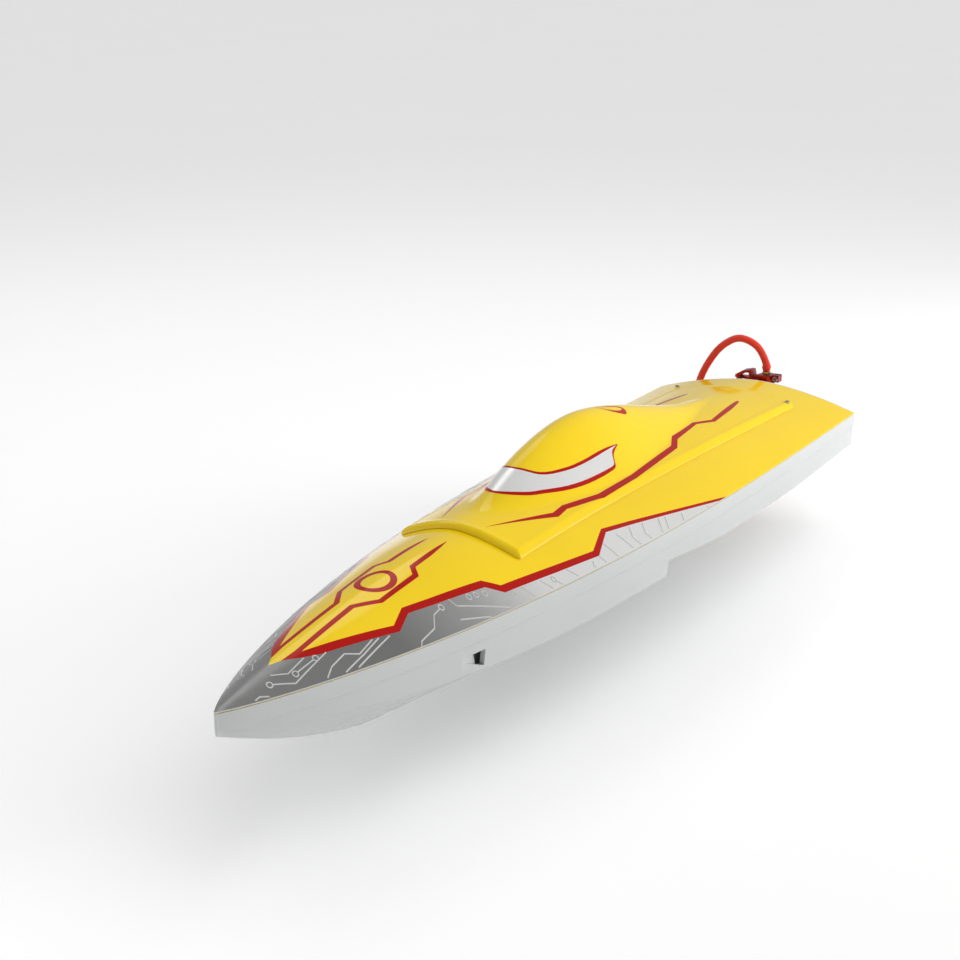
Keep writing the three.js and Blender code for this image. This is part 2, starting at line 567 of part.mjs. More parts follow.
/** Two blades of constant pitch on a hub with a bore. */
function makePropeller() {
  const { radius, hub, length, x } = PROP;
  const pitch = 2.6 * radius;
  const blade = loft(range(hub - 1, radius, 8), (r) => {
    const share = past(r, hub, radius);
    const half = 9 * Math.sqrt(Math.max(1 - (share * 1.05 - 0.45) ** 2 * 3, 0.05));
    const angle = Math.atan2(pitch, 2 * Math.PI * r);
    const thick = 0.9 - 0.5 * share;
    const [c, s] = [Math.cos(angle), Math.sin(angle)];
    const across = Math.min(half, (length / 2 - 0.4) / s);
    const section = [[-across, 0], [0, thick], [across, 0], [0, -thick]];
    return section.map(([u, v]) => [u * s - v * c, u * c + v * s]);
  }, (r, [axial, round]) => [axial, r * Math.sin(round / r), r * Math.cos(round / r)]);
  const [end, inner] = [length / 2, SHAFT_R + GAP];
  const profile = [[inner, -end], [hub - 0.8, -end], [hub, 2 - end], [hub, end], [inner, end], [inner, -end]];
  const centre = turned(profile, vec(0, 0, 0), vec(1, 0, 0), 20);
  const bore = rod(inner, vec(-length, 0, 0), vec(length, 0, 0));
  const whole = cut(join(centre, blade.clone(), blade.clone().rotateX(Math.PI)), bore);
  return whole.translate(x, 0, SHAFT_Z);
}

// ---------------------------------------------------------------- rudder
const onPivot = (z) => vec(PIVOT.x, PIVOT.y, z);
const POST = 2.7;
const BARREL = { radius: 6.5, bottom: -16, top: 6.5 };
const BLADE = { fore: -24, aft: -48, top: -20, thickness: 3 };
const bladeScrews = [-20, -26].map((z) => vec(PIVOT.x - 2, PIVOT.y, z));

function makeRudder() {
  const { y0, y1, z0, z1, thickness } = bracketPlate;
  const web = (z) => block(PIVOT.x, -2, PIVOT.y - 4, PIVOT.y + 4, z, z + 4);
  const bracket = cut(
    join(
      block(-GAP - thickness, -GAP, y0, y1, z0, z1),
      rod(BARREL.radius, onPivot(BARREL.bottom), onPivot(BARREL.top), 24),
      web(BARREL.top - 4),
      web(BARREL.bottom),
      block(PIVOT.x, -2, PIVOT.y - 1.5, PIVOT.y + 1.5, BARREL.bottom, BARREL.top - 1),
    ),
    rod(POST + 0.4, onPivot(BARREL.bottom - 5), onPivot(BARREL.top + 5), 20),
    ...bracketScrews.map(({ y, z }) => rod(SCREW_HOLE, vec(-10, y, z), vec(5, y, z))),
  );
  add('rudder_bracket', bracket, redAnodised);
  bracketScrews.forEach(({ y, z }, i) => {
    const profile = [[0, -2], [2.8, -2], [2.8, 0], [1.5, 0], [1.5, 9], [0, 9]];
    add(`bracket_screw_${i + 1}`, turned(profile, vec(-2 * GAP - thickness, y, z), vec(1, 0, 0)), steel);
  });
  const post = turned([
    [0, 0], [POST, 0], [POST, BARREL.top - BARREL.bottom + 5], [0, BARREL.top - BARREL.bottom + 5],
  ], onPivot(BARREL.bottom), vec(0, 0, 1));
  add('rudder_post', post, steel);
  const half = 5.5;
  const slot = block(BLADE.aft - 1, BLADE.fore + 1, PIVOT.y - 1.9, PIVOT.y + 1.9, -40, BLADE.top + 2);
  const screwHole = ({ x, y, z }) => rod(1.8, vec(x, y - 9, z), vec(x, y + 9, z), 12);
  const holder = cut(
    block(PIVOT.x - 8, PIVOT.x + 7, PIVOT.y - half, PIVOT.y + half, -31, BARREL.bottom - GAP),
    slot,
    ...bladeScrews.map(screwHole),
  );
  add('rudder_block', holder, redAnodised);
  const blade = loft([RUDDER_BOTTOM, -72, -45, BLADE.top], (z) => {
    const low = past(z, -45, RUDDER_BOTTOM);
    const [fore, aft] = [BLADE.fore - 7 * low ** 2, BLADE.aft + 3 * low];
    const t = BLADE.thickness / 2;
    return [[fore, 0], [fore - 7, t], [aft, t], [aft, -t], [fore - 7, -t]].map(([x, y]) => [x, PIVOT.y + y]);
  }, (z, [x, y]) => [x, y, z]);
  const pickup = rod(0.9, vec(BLADE.fore - 9, PIVOT.y, -66), vec(BLADE.fore + 4, PIVOT.y, -66), 10);
  add('rudder_blade', cut(blade, pickup, ...bladeScrews.map(screwHole)), aluminium);
  bladeScrews.forEach(({ x, y, z }, i) => {
    const profile = [[0, 0], [2.6, 0], [2.6, 1.8], [1.5, 1.8], [1.5, 13.5], [0, 13.5]];
    add(`blade_screw_${i + 1}`, turned(profile, vec(x, y - half - 1.8 - GAP, z), vec(0, 1, 0)), steel);
  });
  makeTiller();
}

function makeTiller() {
  const low = BARREL.top + GAP;
  const outline = new THREE.Shape();
  outline.moveTo(0, 7);
  outline.absarc(0, 0, 6.5, Math.PI / 2, Math.PI * 0.95);
  outline.absarc(0, -TILLER, 3.6, Math.PI, 2 * Math.PI);
  outline.lineTo(6.4, -2);
  outline.absarc(0, 0, 6.5, -0.2, Math.PI / 2);
  outline.holes.push(new THREE.Path().absarc(0, 0, POST + GAP, 0, 2 * Math.PI, true));
  const plan = new THREE.ExtrudeGeometry(outline, { depth: 9, bevelEnabled: false, curveSegments: 8 });
  plan.translate(PIVOT.x, PIVOT.y, low);
  const across = (side) =>
    loft([PIVOT.x - 10, PIVOT.x + 10], () => side.map(([y, z]) => [PIVOT.y + y, low + z]));
  const wedge = across([
    [-26, 0], [-26, 0.8], [-17.5, 6], [-12.5, 7], [-10.5, 6.8], [-9.6, 2.4], [-4, 4.6], [12, 4.6], [12, 0],
  ]);
  const pocket = across([[-20.5, 1.2], [-14.8, 4.8], [-12.3, 5.1], [-11.7, 1.2]]);
  const clamp = vec(PIVOT.x, PIVOT.y + 8.6, low + 2.4);
  const lug = block(clamp.x - 3.5, clamp.x + 3.5, PIVOT.y + 5.5, PIVOT.y + 11, low, low + 5.2);
  const lugSlot = block(clamp.x - 0.5, clamp.x + 0.5, PIVOT.y + 5, PIVOT.y + 12, low - 1, low + 7);
  const screwHole = rod(1.4, clamp.clone().setX(clamp.x - 9), clamp.clone().setX(clamp.x + 9), 10);
  const arm = cut(join(cut(keep(plan, wedge), pocket), lug), lugSlot, screwHole);
  add('rudder_arm', arm, redAnodised);
  const profile = [[0, 0], [2.1, 0], [2.1, 1.6], [1.1, 1.6], [1.1, 9.6], [0, 9.6]];
  const head = clamp.clone().setX(clamp.x + 3.5 + 1.6 + GAP);
  add('arm_clamp_screw', turned(profile, head, vec(-1, 0, 0)), steel);
  const nipple = turned([
    [0, 0], [3, 0], [3, 1.8], [1.1, 1.8], [1.1, 3.4], [1.25, 3.6], [1, 5], [1.25, 5.2], [0.9, 7.6], [0, 7.6],
  ], onPivot(BARREL.top + 5 + GAP), vec(0, 0, 1));
  add('rudder_nipple', nipple, brass);
}

function makePushrod() {
  const servoPin = SERVO.x + SERVO.axis;
  const link = (x) => rod(2.6, vec(x, ROD_Y, ROD_Z - 1.8), vec(x, ROD_Y, ROD_Z + 1.8));
  const long = rod(1, vec(PIVOT.x, ROD_Y, ROD_Z), vec(servoPin, ROD_Y, ROD_Z), 10);
  add('pushrod', join(long, link(PIVOT.x), link(servoPin)), steel);
  const folds = [
    [1.5, 0.3], [5.4, 0.3], [5.4, 1.6], [2.6, 3.2], [4.4, 4.8], [2.4, 6.4], [3.6, 8], [2.2, 9.6],
    [1.5, 9.6], [1.5, 0.3],
  ];
  add('pushrod_bellows', turned(folds, vec(0, ROD_Y, ROD_Z), vec(-1, 0, 0), 16), blackRubber);
}

// ---------------------------------------------------------------- transom fittings
function makeTransomFittings() {
  const at = vec(0, inlet.y, inlet.z);
  const flange = turned([
    [0, -4], [FITTING_R, -4], [FITTING_R, GAP], [5, GAP], [5, 2], [2.6, 2.4], [2.6, 2.6 - inlet.out],
    [0, 2.6 - inlet.out],
  ], at, vec(-1, 0, 0), 16);
  const barb = [[0, 0], [2.4, 0], [2.4, 4], [1.2, 4.2], [1.2, 11], [0, 11]];
  const riser = turned(barb, at.clone().setX(inlet.out), vec(0, 0, 1));
  add('water_inlet_elbow', join(flange, riser), brass);
  const outlet = turned([
    [0, -4], [FITTING_R, -4], [FITTING_R, GAP], [4.6, GAP], [4.6, 2], [2, 2.4], [2, 7], [0, 7],
  ], vec(0, outletPlace.y, outletPlace.z), vec(-1, 0, 0), 16);
  add('water_outlet', outlet, brass);
  const plug = [[0, -4], [3, -4], [3, GAP], [5, GAP], [5, 2.2], [0, 2.6]];
  add('drain_plug', turned(plug, vec(0, drainPlace.y, drainPlace.z), vec(-1, 0, 0), 16), blackRubber);
  const route = [
    onPivot(14.1), onPivot(20).add(vec(0.3, -0.7, 0)), vec(-30.5, -13.5, 33), vec(-25.4, -25.4, 38.3),
    vec(-20.4, -36.7, 32), vec(-16.5, -46, 18), vec(-14.2, -51.2, 4), vec(inlet.out, inlet.y, -4.6),
  ];
  add('cooling_hose', tube(route, HOSE.radius, HOSE.bore, 34, 10), redSilicone);
}

function makeTrimTabs() {
  const rise = Math.atan2(chineZ(0, STEP_X) - keelBottom, chineY(0, STEP_X) - PAD_HALF_WIDTH);
  const edgeZ = keelBottom + (TAB.y - PAD_HALF_WIDTH) * Math.tan(rise);
  const { halfWidth: w, knuckle: r } = TAB;
  const hinge = vec(-3, 0, 2);
  for (const [name, side] of [['left', 1], ['right', -1]]) {
    const lay = (g) => g.rotateX(side * rise).translate(0, side * TAB.y, edgeZ);
    const tab = join(
      block(hinge.x - 2 - TAB.length, hinge.x - r - GAP, -w, w, hinge.z - r, hinge.z - r + TAB.thickness),
      ...[[-w, -4.4], [4.4, w]].flatMap(([a, b]) => [
        rod(r, vec(hinge.x, a, hinge.z), vec(hinge.x, b, hinge.z), 14),
        block(hinge.x - r - 1, hinge.x, a, b, hinge.z - r, hinge.z - r + TAB.thickness),
      ]),
    );
    add(`trim_tab_${name}`, lay(tab), aluminium);
    const holder = join(
      block(-GAP - 1.6, -GAP, -8, 8, hinge.z + r + 0.4, hinge.z + 13),
      block(-GAP - 1.6, -GAP, -4, 4, hinge.z - 1, hinge.z + r + 1),
      rod(r, vec(hinge.x, -4, hinge.z), vec(hinge.x, 4, hinge.z), 14),
    );
    add(`trim_hinge_${name}`, lay(holder), aluminium);
  }
}

makeHull();
makeDeck();
makeHatch();
makeHullFittings();
makeBattery();
makeElectronics();
makeServo();
makeMotor();
makeDrive();
makeRudder();
makePushrod();
makeTransomFittings();
makeTrimTabs();

// The whole boat's box stands centred on the origin.
boat.position.set(-(LENGTH + BLADE.aft) / 2, 0, -RUDDER_BOTTOM);
const model = new THREE.Group();
model.add(boat);
export default model;
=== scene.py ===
"""The looks of a self-righting radio-controlled speed boat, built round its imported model.

Lengths are millimetres in the boat's own frame: x is 0 at the transom and grows towards the bow, y is
port, and z is 0 at the seam between hull and deck. to_frame() turns them into metres in the row's frame.
"""
import json
import math

import bmesh
import bpy
import numpy as np
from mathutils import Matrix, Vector


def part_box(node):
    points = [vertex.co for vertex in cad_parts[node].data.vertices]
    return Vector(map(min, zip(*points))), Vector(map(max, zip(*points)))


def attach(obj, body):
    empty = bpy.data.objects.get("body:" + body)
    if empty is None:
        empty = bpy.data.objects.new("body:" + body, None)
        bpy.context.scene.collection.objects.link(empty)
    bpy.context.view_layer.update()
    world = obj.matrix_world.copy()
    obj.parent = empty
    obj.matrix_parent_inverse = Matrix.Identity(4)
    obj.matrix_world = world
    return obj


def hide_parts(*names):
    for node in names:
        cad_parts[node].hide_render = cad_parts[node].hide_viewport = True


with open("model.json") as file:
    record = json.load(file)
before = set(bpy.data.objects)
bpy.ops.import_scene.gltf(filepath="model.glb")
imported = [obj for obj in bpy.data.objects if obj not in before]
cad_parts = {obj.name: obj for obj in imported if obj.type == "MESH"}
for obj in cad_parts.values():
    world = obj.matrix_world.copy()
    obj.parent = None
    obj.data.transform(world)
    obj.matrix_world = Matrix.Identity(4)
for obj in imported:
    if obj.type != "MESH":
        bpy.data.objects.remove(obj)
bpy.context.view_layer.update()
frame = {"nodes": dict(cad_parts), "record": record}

MM = 0.001
GAP = 0.3

# ---- driving dimensions
HULL_LOW, HULL_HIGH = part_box("hull_shell")
ORIGIN = np.array([HULL_LOW.x / MM, 0, HULL_HIGH.z / MM + GAP / 2])
LENGTH = (HULL_HIGH.x - HULL_LOW.x) / MM
HALF_BEAM = HULL_HIGH.y / MM
PLAN_POWER, PLAN_TAPER, STEM_HALF_WIDTH = 3.2, 0.85, 1
STEM_ROUND = (1.2, 0.8, 0.45, 0.2, 0.05, 0)
BAND_DEPTH, BAND_LIP, FLARE, FLARE_X = 9, 0.8, 0.1, 300
STEP_X, LIFT_X, LIFT_POWER = 295, 215, 1.2
CHINE_AFT_Z, CHINE_DIP, CHINE_DIP_X, CHINE_LIFT = -22.5, 3, 110, 6.1
CHINE_FORE_Z, CHINE_SWEEP, CHINE_SWEEP_X = -29, 20, 352
KEEL_AFT_Z, KEEL_LIFT = -47, 4.5
KEEL_FORE_Z, KEEL_SWEEP, KEEL_SWEEP_X = -49, 38, 500
PAD_HALF_WIDTH, STRAKES, STRAKE_DEPTH, BOTTOM_BULGE = 5, (0.66, 0.36), 1.5, 1.2
HULL_WALL, BOW_BLOCK_X = 2.4, 575
CROWN, CROWN_X, CROWN_AFT, CROWN_POWER = 25.3, 440, 15, 1.75
DECK_EDGE, DECK_WALL, DECK_SIDE_WALL, SEAM_LINE, RIM_TOP = 0.8, 2, 3.5, 0.27, 0.9
HATCH_AFT, HATCH_FORE, HATCH_BOW = 43, 416, 5
HATCH_HALF_FORE, HATCH_HALF_AFT = 37.2, 45
HATCH_RISE, HATCH_BULGE, HATCH_WALL, HATCH_EDGE, HATCH_BEAD, HATCH_CORNER = 3.4, 1.6, 2.2, 3.2, 0.35, 1.4
OPENING_INSET = 6
LIP_OUTSIDE, LIP_INSIDE = OPENING_INSET + 0.5, OPENING_INSET + 2.3
EDGE_STEPS, EDGE_REACH = [0, 0.1, 0.35, 0.75, 1.25, 1.8, 2.4, 3.0], 3.6
SEAL_HEIGHT, SEAL_INSET, RIM_GAP = 0.7, 0.5, 0.14
COCKPIT_X, COCKPIT_FORE, COCKPIT_AFT = 284, 108, 204
COCKPIT_HEIGHT, COCKPIT_HALF_WIDTH = 29.6, 31
HATCH_SCREW_HOLE = 1.2
HATCH_SCREWS = [(HATCH_AFT + 4.2, side * (HATCH_HALF_AFT - 3.2)) for side in (1, -1)]
PIVOT_X, PIVOT_Y = -34, -5.7
TILLER = 21.3
BELLOWS_HOLE, BELLOWS_Z = 2.4, 4.4
VENT_AFT, VENT_SLOT, VENT_FORE, VENT_TOP, VENT_BOTTOM, VENT_DEPTH = 467.5, 3.8, 488, -15.2, -24.2, 4
SCREW_HOLE = 1.9
CREASE_ANGLE = 38
EASING_STEPS, CROWN_EASE, DOME_EASE = 7, 14, 9


def to_frame(points):
    return (np.asarray(points, float) + ORIGIN) * MM


def at(x, y, z):
    return Vector(to_frame((x, y, z)))


# ---- camera, lights and floor
CAMERA_LENS, CAMERA_SENSOR = 63.75, 36
CAMERA_PLACE = (0.854, 0.4449, 0.4022)
CAMERA_FORWARD = (-0.8187, -0.4886, -0.3017)
FLOOR_REACH = 60


def set_all(thing, settings):
    for setting, value in settings.items():
        setattr(thing, setting, value)


def add_object(name, data):
    made = bpy.data.objects.new(name, data)
    bpy.context.scene.collection.objects.link(made)
    return made


def look_along(obj, direction):
    obj.rotation_mode = "QUATERNION"
    obj.rotation_quaternion = Vector(direction).to_track_quat("-Z", "Y")


def make_camera():
    """A long lens off the port bow, a little above the deck."""
    data = bpy.data.cameras.new("camera")
    data.lens = CAMERA_LENS
    data.sensor_width = CAMERA_SENSOR
    camera = add_object("camera", data)
    camera.location = CAMERA_PLACE
    look_along(camera, CAMERA_FORWARD)
    bpy.context.scene.camera = camera


def make_light(name, kind, power, source, aim=(0, 0, 0), glossy=False, **settings):
    """A light from one place towards another. One that isn't glossy shows in no reflection."""
    data = bpy.data.lights.new(name, kind)
    data.energy = power
    set_all(data, settings)
    light = add_object(name, data)
    light.location = source
    look_along(light, Vector(aim) - Vector(source))
    light.visible_glossy = glossy


def make_box(name, power, source, aim, width, height, glossy=False):
    """A soft box, metres wide and high."""
    make_light(name, "AREA", power, source, aim, glossy, shape="RECTANGLE", size=width, size_y=height)


def make_world():
    """A pale studio, a little darker overhead and behind the camera."""
    world = bpy.data.worlds.new("studio")
    bpy.context.scene.world = world
    world.use_nodes = True
    tree = world.node_tree
    toward = node(tree, "SeparateXYZ", {"Vector": node(tree, "TexCoord").outputs["Generated"]}).outputs
    rise = remap(tree, toward["Z"], 0.45, 0.4, 0.05, 0.6)
    aside = remap(tree, toward["X"], 1.1, 0.85, -1, 1)
    strength = node(tree, "Math", {0: rise, 1: aside}, operation="MULTIPLY").outputs["Value"]
    background = tree.nodes["Background"]
    background.inputs["Color"].default_value = (1, 1, 1, 1)
    tree.links.new(strength, background.inputs["Strength"])


def make_stage():
    make_world()
    bpy.context.scene.view_settings.view_transform = "Standard"
    bpy.context.scene.view_settings.look = "None"
    make_light("key", "SUN", 1.74, (-0.95, 1.0, 1.4), angle=math.radians(80))
    make_box("starboard_box", 4.2, (-0.35, -0.85, 1.35), (0.1, 0, 0.08), 1.6, 0.8, glossy=True)
    make_box("port_fill", 6.5, (-0.8, 0.8, 0.3), (-0.3, 0.07, 0.04), 0.5, 0.4)
    make_box("bow_fill", 1.5, (1.0, -0.35, 0.35), (0.1, 0, 0.09), 0.4, 0.4)
    mesh = bpy.data.meshes.new("floor")
    corners = [(x * FLOOR_REACH, y * FLOOR_REACH, 0) for x, y in ((-1, -1), (1, -1), (1, 1), (-1, 1))]
    mesh.from_pydata(corners, [], [(0, 1, 2, 3)])
    floor = add_object("floor", mesh)
    floor.data.materials.append(plain_floor())


# ---- materials
def node(tree, kind, inputs=None, **properties):
    made = tree.nodes.new("ShaderNode" + kind)
    set_all(made, properties)
    for name, value in (inputs or {}).items():
        if isinstance(value, bpy.types.NodeSocket):
            tree.links.new(value, made.inputs[name])
        else:
            made.inputs[name].default_value = value
    return made


def principled(name, **sockets):
    """A new material, its nodes, its shader and the place that its textures start from."""
    material = bpy.data.materials.new(name)
    material.use_nodes = True
    shader = material.node_tree.nodes["Principled BSDF"]
    for socket, value in sockets.items():
        shader.inputs[socket.replace("_", " ").title().replace("Ior", "IOR")].default_value = value
    return material, material.node_tree, shader, place_in(material.node_tree)


def place_in(tree, stretch=(1, 1, 1)):
    """Object coordinates, which are the row's frame in metres, stretched."""
    place = node(tree, "TexCoord").outputs["Object"]
    return node(tree, "Mapping", {"Vector": place, "Scale": stretch}).outputs["Vector"]


def along_boat(tree, where, aft, fore):
    """How far a place lies between two places along the boat, from 0 to 1."""
    x = node(tree, "SeparateXYZ", {"Vector": where}).outputs["X"]
    return remap(tree, x, 0, 1, float(at(aft, 0, 0).x), float(at(fore, 0, 0).x))


def noise(tree, vector, scale, detail=3.0):
    return node(tree, "TexNoise", {"Vector": vector, "Scale": scale, "Detail": detail}).outputs["Fac"]


def remap(tree, value, low, high, start=0.3, end=0.7):
    inputs = {"Value": value, "From Min": start, "From Max": end, "To Min": low, "To Max": high}
    return node(tree, "MapRange", inputs).outputs["Result"]


def patches(tree, vector, scale, low=0, high=1, detail=3.0):
    """Cloudy noise between two values."""
    return remap(tree, noise(tree, vector, scale, detail), low, high)


def mix(tree, factor, first, second, how="MIX"):
    """A colour between two colours."""
    made = node(tree, "Mix", data_type="RGBA", blend_type=how)
    for socket, value in ((made.inputs[0], factor), (made.inputs[6], first), (made.inputs[7], second)):
        if isinstance(value, bpy.types.NodeSocket):
            tree.links.new(value, socket)
        elif isinstance(value, (int, float)):
            socket.default_value = value
        else:
            socket.default_value = (*value[:3], 1)
    return made.outputs[2]


def darkened(tree, colour, value):
    """A colour times a grey value."""
    grey = node(tree, "CombineColor", {"Red": value, "Green": value, "Blue": value})
    return mix(tree, 1.0, colour, grey.outputs["Color"], "MULTIPLY")


def bump(tree, shader, height, distance, strength=1.0):
    made = node(tree, "Bump", {"Height": height, "Distance": distance, "Strength": strength})
    tree.links.new(made.outputs["Normal"], shader.inputs["Normal"])


def coat(tree, shader, colour, roughness=None):
    """Gives the shader its colour and, where it varies, its roughness."""
    tree.links.new(colour, shader.inputs["Base Color"])
    if roughness is not None:
        tree.links.new(roughness, shader.inputs["Roughness"])


def shades(colour, factor):
    return tuple(c * factor for c in colour)


def gloss(name, colour, roughness=(0.1, 0.2), peel=0.00002, variation=0.95, **sockets):
    """Moulded gelcoat or paint under lacquer: faint cloudiness, fine swirls in the gloss, orange peel."""
    material, tree, shader, where = principled(name, **sockets)
    clouded = mix(tree, patches(tree, where, 14), shades(colour, variation), colour)
    coat(tree, shader, clouded, patches(tree, where, 260, *roughness, 6))
    bump(tree, shader, noise(tree, where, 700, 2), peel, 0.35)
    return material


def silver_paint_with_painted_light():
    """Metallic silver paint whose fade along the boat is painted light: painted shade at the bow, a
    painted highlight at the nose tip, nearly white aft.
    """
    sockets = {"metallic": 0.6, "coat_weight": 0.1, "coat_roughness": 0.08}
    material, tree, shader, where = principled("silver_paint_with_painted_light", **sockets)
    ramp = node(tree, "ValToRGB", {"Fac": along_boat(tree, where, 340, 600)})
    # Painted light: these stops darken the bow as painted shade, lift the nose tip as a painted
    # highlight, and keep aft and the window nearly white.
    painted_light_stops = [(0.0, 0.97), (0.3, 0.9), (0.5, 0.43), (0.7, 0.22), (1.0, 0.27)]
    while len(ramp.color_ramp.elements) < len(painted_light_stops):
        ramp.color_ramp.elements.new(0.5)
    for element, (position, value) in zip(ramp.color_ramp.elements, painted_light_stops):
        element.position = position
        element.color = (value, value, value * 0.99, 1)
    flakes = node(tree, "TexVoronoi", {"Vector": where, "Scale": 4000.0}).outputs["Color"]
    grey = node(tree, "RGBToBW", {"Color": flakes}).outputs["Val"]
    sparkle = remap(tree, grey, 0.86, 1.0, 0, 1)
    silver = darkened(tree, ramp.outputs["Color"], sparkle)
    coat(tree, shader, silver, patches(tree, where, 300, 0.28, 0.38))
    return material


def trace_paint():
    """The fine printed lines: pale on the grey bow and darker than the ground aft."""
    sockets = {"metallic": 0.2, "coat_weight": 0.6, "coat_roughness": 0.05}
    material, tree, shader, where = principled("trace_paint", **sockets)
    ink = (0.5, 0.51, 0.5)
    pale = mix(tree, patches(tree, where, 120), ink, (0.58, 0.58, 0.57))
    colour = mix(tree, along_boat(tree, where, 430, 480), ink, pale)
    coat(tree, shader, colour, patches(tree, where, 300, 0.25, 0.4))
    return material


def metal(name, colour, roughness=(0.25, 0.4), stretch=(1, 1, 1), scratch=900, tarnish=0.85,
          depth=0.00003, **sockets):
    """Machined metal: fine tool marks across one direction, a little tarnish."""
    material, tree, shader, where = principled(name, metallic=1.0, **sockets)
    marks = noise(tree, place_in(tree, stretch), scratch, 4)
    dulled = mix(tree, patches(tree, where, 90), shades(colour, tarnish), colour)
    coat(tree, shader, dulled, remap(tree, marks, *roughness))
    bump(tree, shader, marks, depth, 0.5)
    return material


def moulded(name, colour, roughness=(0.4, 0.55), grain=1500, depth=0.00006, worn=1.25, **sockets):
    """Moulded plastic or rubber: fine spark-eroded grain and faint handling marks."""
    material, tree, shader, where = principled(name, **sockets)
    handled = mix(tree, patches(tree, where, 60), colour, shades(colour, worn))
    coat(tree, shader, handled, patches(tree, where, 200, *roughness))
    bump(tree, shader, noise(tree, where, grain, 2), depth, 0.6)
    return material


def woven(name, colour, thread=0.0007):
    """Nylon webbing: over and under threads."""
    material, tree, shader, where = principled(name, roughness=0.8, sheen_weight=0.3)
    wave = {"Vector": where, "Scale": math.tau / thread / 20}
    bands = [node(tree, "TexWave", wave, bands_direction=axis).outputs["Fac"] for axis in "XY"]
    over = node(tree, "Math", {0: bands[0], 1: bands[1]}, operation="MAXIMUM").outputs["Value"]
    coat(tree, shader, mix(tree, over, shades(colour, 0.4), colour))
    bump(tree, shader, over, 0.0002)
    return material


def beaded_foam(name, colour):
    """Expanded foam: beads pressed together."""
    material, tree, shader, where = principled(name, roughness=0.9)
    cells = {"Vector": where, "Scale": 330.0}
    beads = node(tree, "TexVoronoi", cells, feature="DISTANCE_TO_EDGE").outputs["Distance"]
    seams = remap(tree, beads, 0, 1, 0, 0.12)
    coat(tree, shader, mix(tree, seams, shades(colour, 0.8), colour))
    bump(tree, shader, seams, 0.0004)
    return material


def wood_ply(name, light, dark):
    """Birch ply: long grain on the faces and dark glue lines round the edges."""
    material, tree, shader, where = principled(name, coat_weight=0.15, coat_roughness=0.3)
    grain = noise(tree, place_in(tree, (0.08, 1, 1)), 900, 5)
    wave = {"Vector": where, "Scale": 330.0, "Distortion": 0.3}
    layers = node(tree, "TexWave", wave, bands_direction="Z").outputs["Fac"]
    face = mix(tree, remap(tree, grain, 0, 1), dark, light)
    lines = remap(tree, layers, 0.8, 1, 0.0, 0.3)
    coat(tree, shader, darkened(tree, face, lines), remap(tree, grain, 0.5, 0.7))
    bump(tree, shader, grain, 0.00005)
    return material


def plain_floor():
    material, tree, shader, where = principled("floor_paper", specular_ior_level=0.2)
    paper = mix(tree, noise(tree, where, 2), (0.965, 0.965, 0.965), (0.985, 0.985, 0.985))
    coat(tree, shader, paper, patches(tree, where, 30, 0.7, 0.8))
    return material


YELLOW = (0.86, 0.6, 0.005)
RED = (0.4, 0.005, 0.002)
GREY = (0.5, 0.515, 0.51)
FRESH_GLOSS = (0.07, 0.13)
LOOKS = {
    "grey_gelcoat": gloss("grey_gelcoat_paint", GREY, roughness=(0.16, 0.26)),
    "yellow_gelcoat": gloss("yellow_gelcoat_paint", YELLOW, FRESH_GLOSS, specular_ior_level=0.35),
    "red_anodised": metal("red_anodised_metal", (0.43, 0.018, 0.024), (0.28, 0.42), coat_weight=0.3),
    "aluminium": metal("brushed_aluminium", (0.72, 0.73, 0.75), stretch=(1, 0.06, 1), scratch=1600),
    "steel": metal("bright_steel", (0.5, 0.5, 0.52), roughness=(0.18, 0.32), stretch=(0.1, 1, 1)),
    "brass": metal("turned_brass", (0.78, 0.56, 0.2), (0.16, 0.3), tarnish=0.7, depth=0.000015),
    "bronze": metal("cast_bronze", (0.62, 0.34, 0.16), (0.14, 0.26), tarnish=0.7, depth=0.00001),
    "red_silicone": moulded("red_silicone_rubber", (0.72, 0.04, 0.02), (0.3, 0.42), grain=500, worn=1.1,
                            subsurface_weight=0.15, subsurface_scale=0.002),
    "black_plastic": moulded("black_abs", (0.016, 0.016, 0.017)),
    "black_rubber": moulded("black_rubber_skin", (0.02, 0.02, 0.02), (0.6, 0.8), grain=900),
    "webbing": woven("black_webbing", (0.03, 0.03, 0.032)),
    "blue_wrap": moulded("blue_shrink_wrap", (0.02, 0.07, 0.32), (0.18, 0.3), grain=120, depth=0.0004,
                         coat_weight=0.5),
    "foam": beaded_foam("white_bead_foam", (0.86, 0.86, 0.83)),
    "plywood": wood_ply("birch_ply", (0.62, 0.42, 0.22), (0.45, 0.28, 0.13)),
}
RED_PAINT = gloss("red_paint", RED, FRESH_GLOSS, specular_ior_level=0.16)
# Silver paint with painted shade at the bow and painted light aft.
SILVER_PAINT_WITH_PAINTED_LIGHT = silver_paint_with_painted_light()
TRACE_PAINT = trace_paint()
SLOT_OF = {row["node"]: row["material_slot"] for row in frame["record"]["subparts"]}
BODY_OF = {name: body for body, names in frame["record"]["behaviour"]["bodies"].items() for name in names}


# ---- hull, deck and hatch form
def past(x, start, end):
    return np.clip((np.asarray(x, float) - start) / (end - start), 0, 1)


def smooth(t):
    return t * t * (3 - 2 * t)


def eased(form, x, reach):
    """The mean of a form over a short stretch of x, which rounds its creases."""
    x = np.asarray(x, float)
    span = np.minimum(reach, np.minimum(np.abs(x), np.abs(LENGTH - x)))
    return sum(form(x + share * span) for share in np.linspace(-1, 1, EASING_STEPS)) / EASING_STEPS


def half_breadth(x):
    return np.maximum(HALF_BEAM * (1 - past(x, 0, LENGTH) ** PLAN_POWER) ** PLAN_TAPER, STEM_HALF_WIDTH)


def chine_z(x, step_x):
    fore = CHINE_FORE_Z + CHINE_SWEEP * past(x, CHINE_SWEEP_X, LENGTH) ** 2.5
    dip = CHINE_AFT_Z - CHINE_DIP * past(x, 0, CHINE_DIP_X)
    return np.where(x > step_x, fore, dip + CHINE_LIFT * past(x, LIFT_X, STEP_X) ** LIFT_POWER)


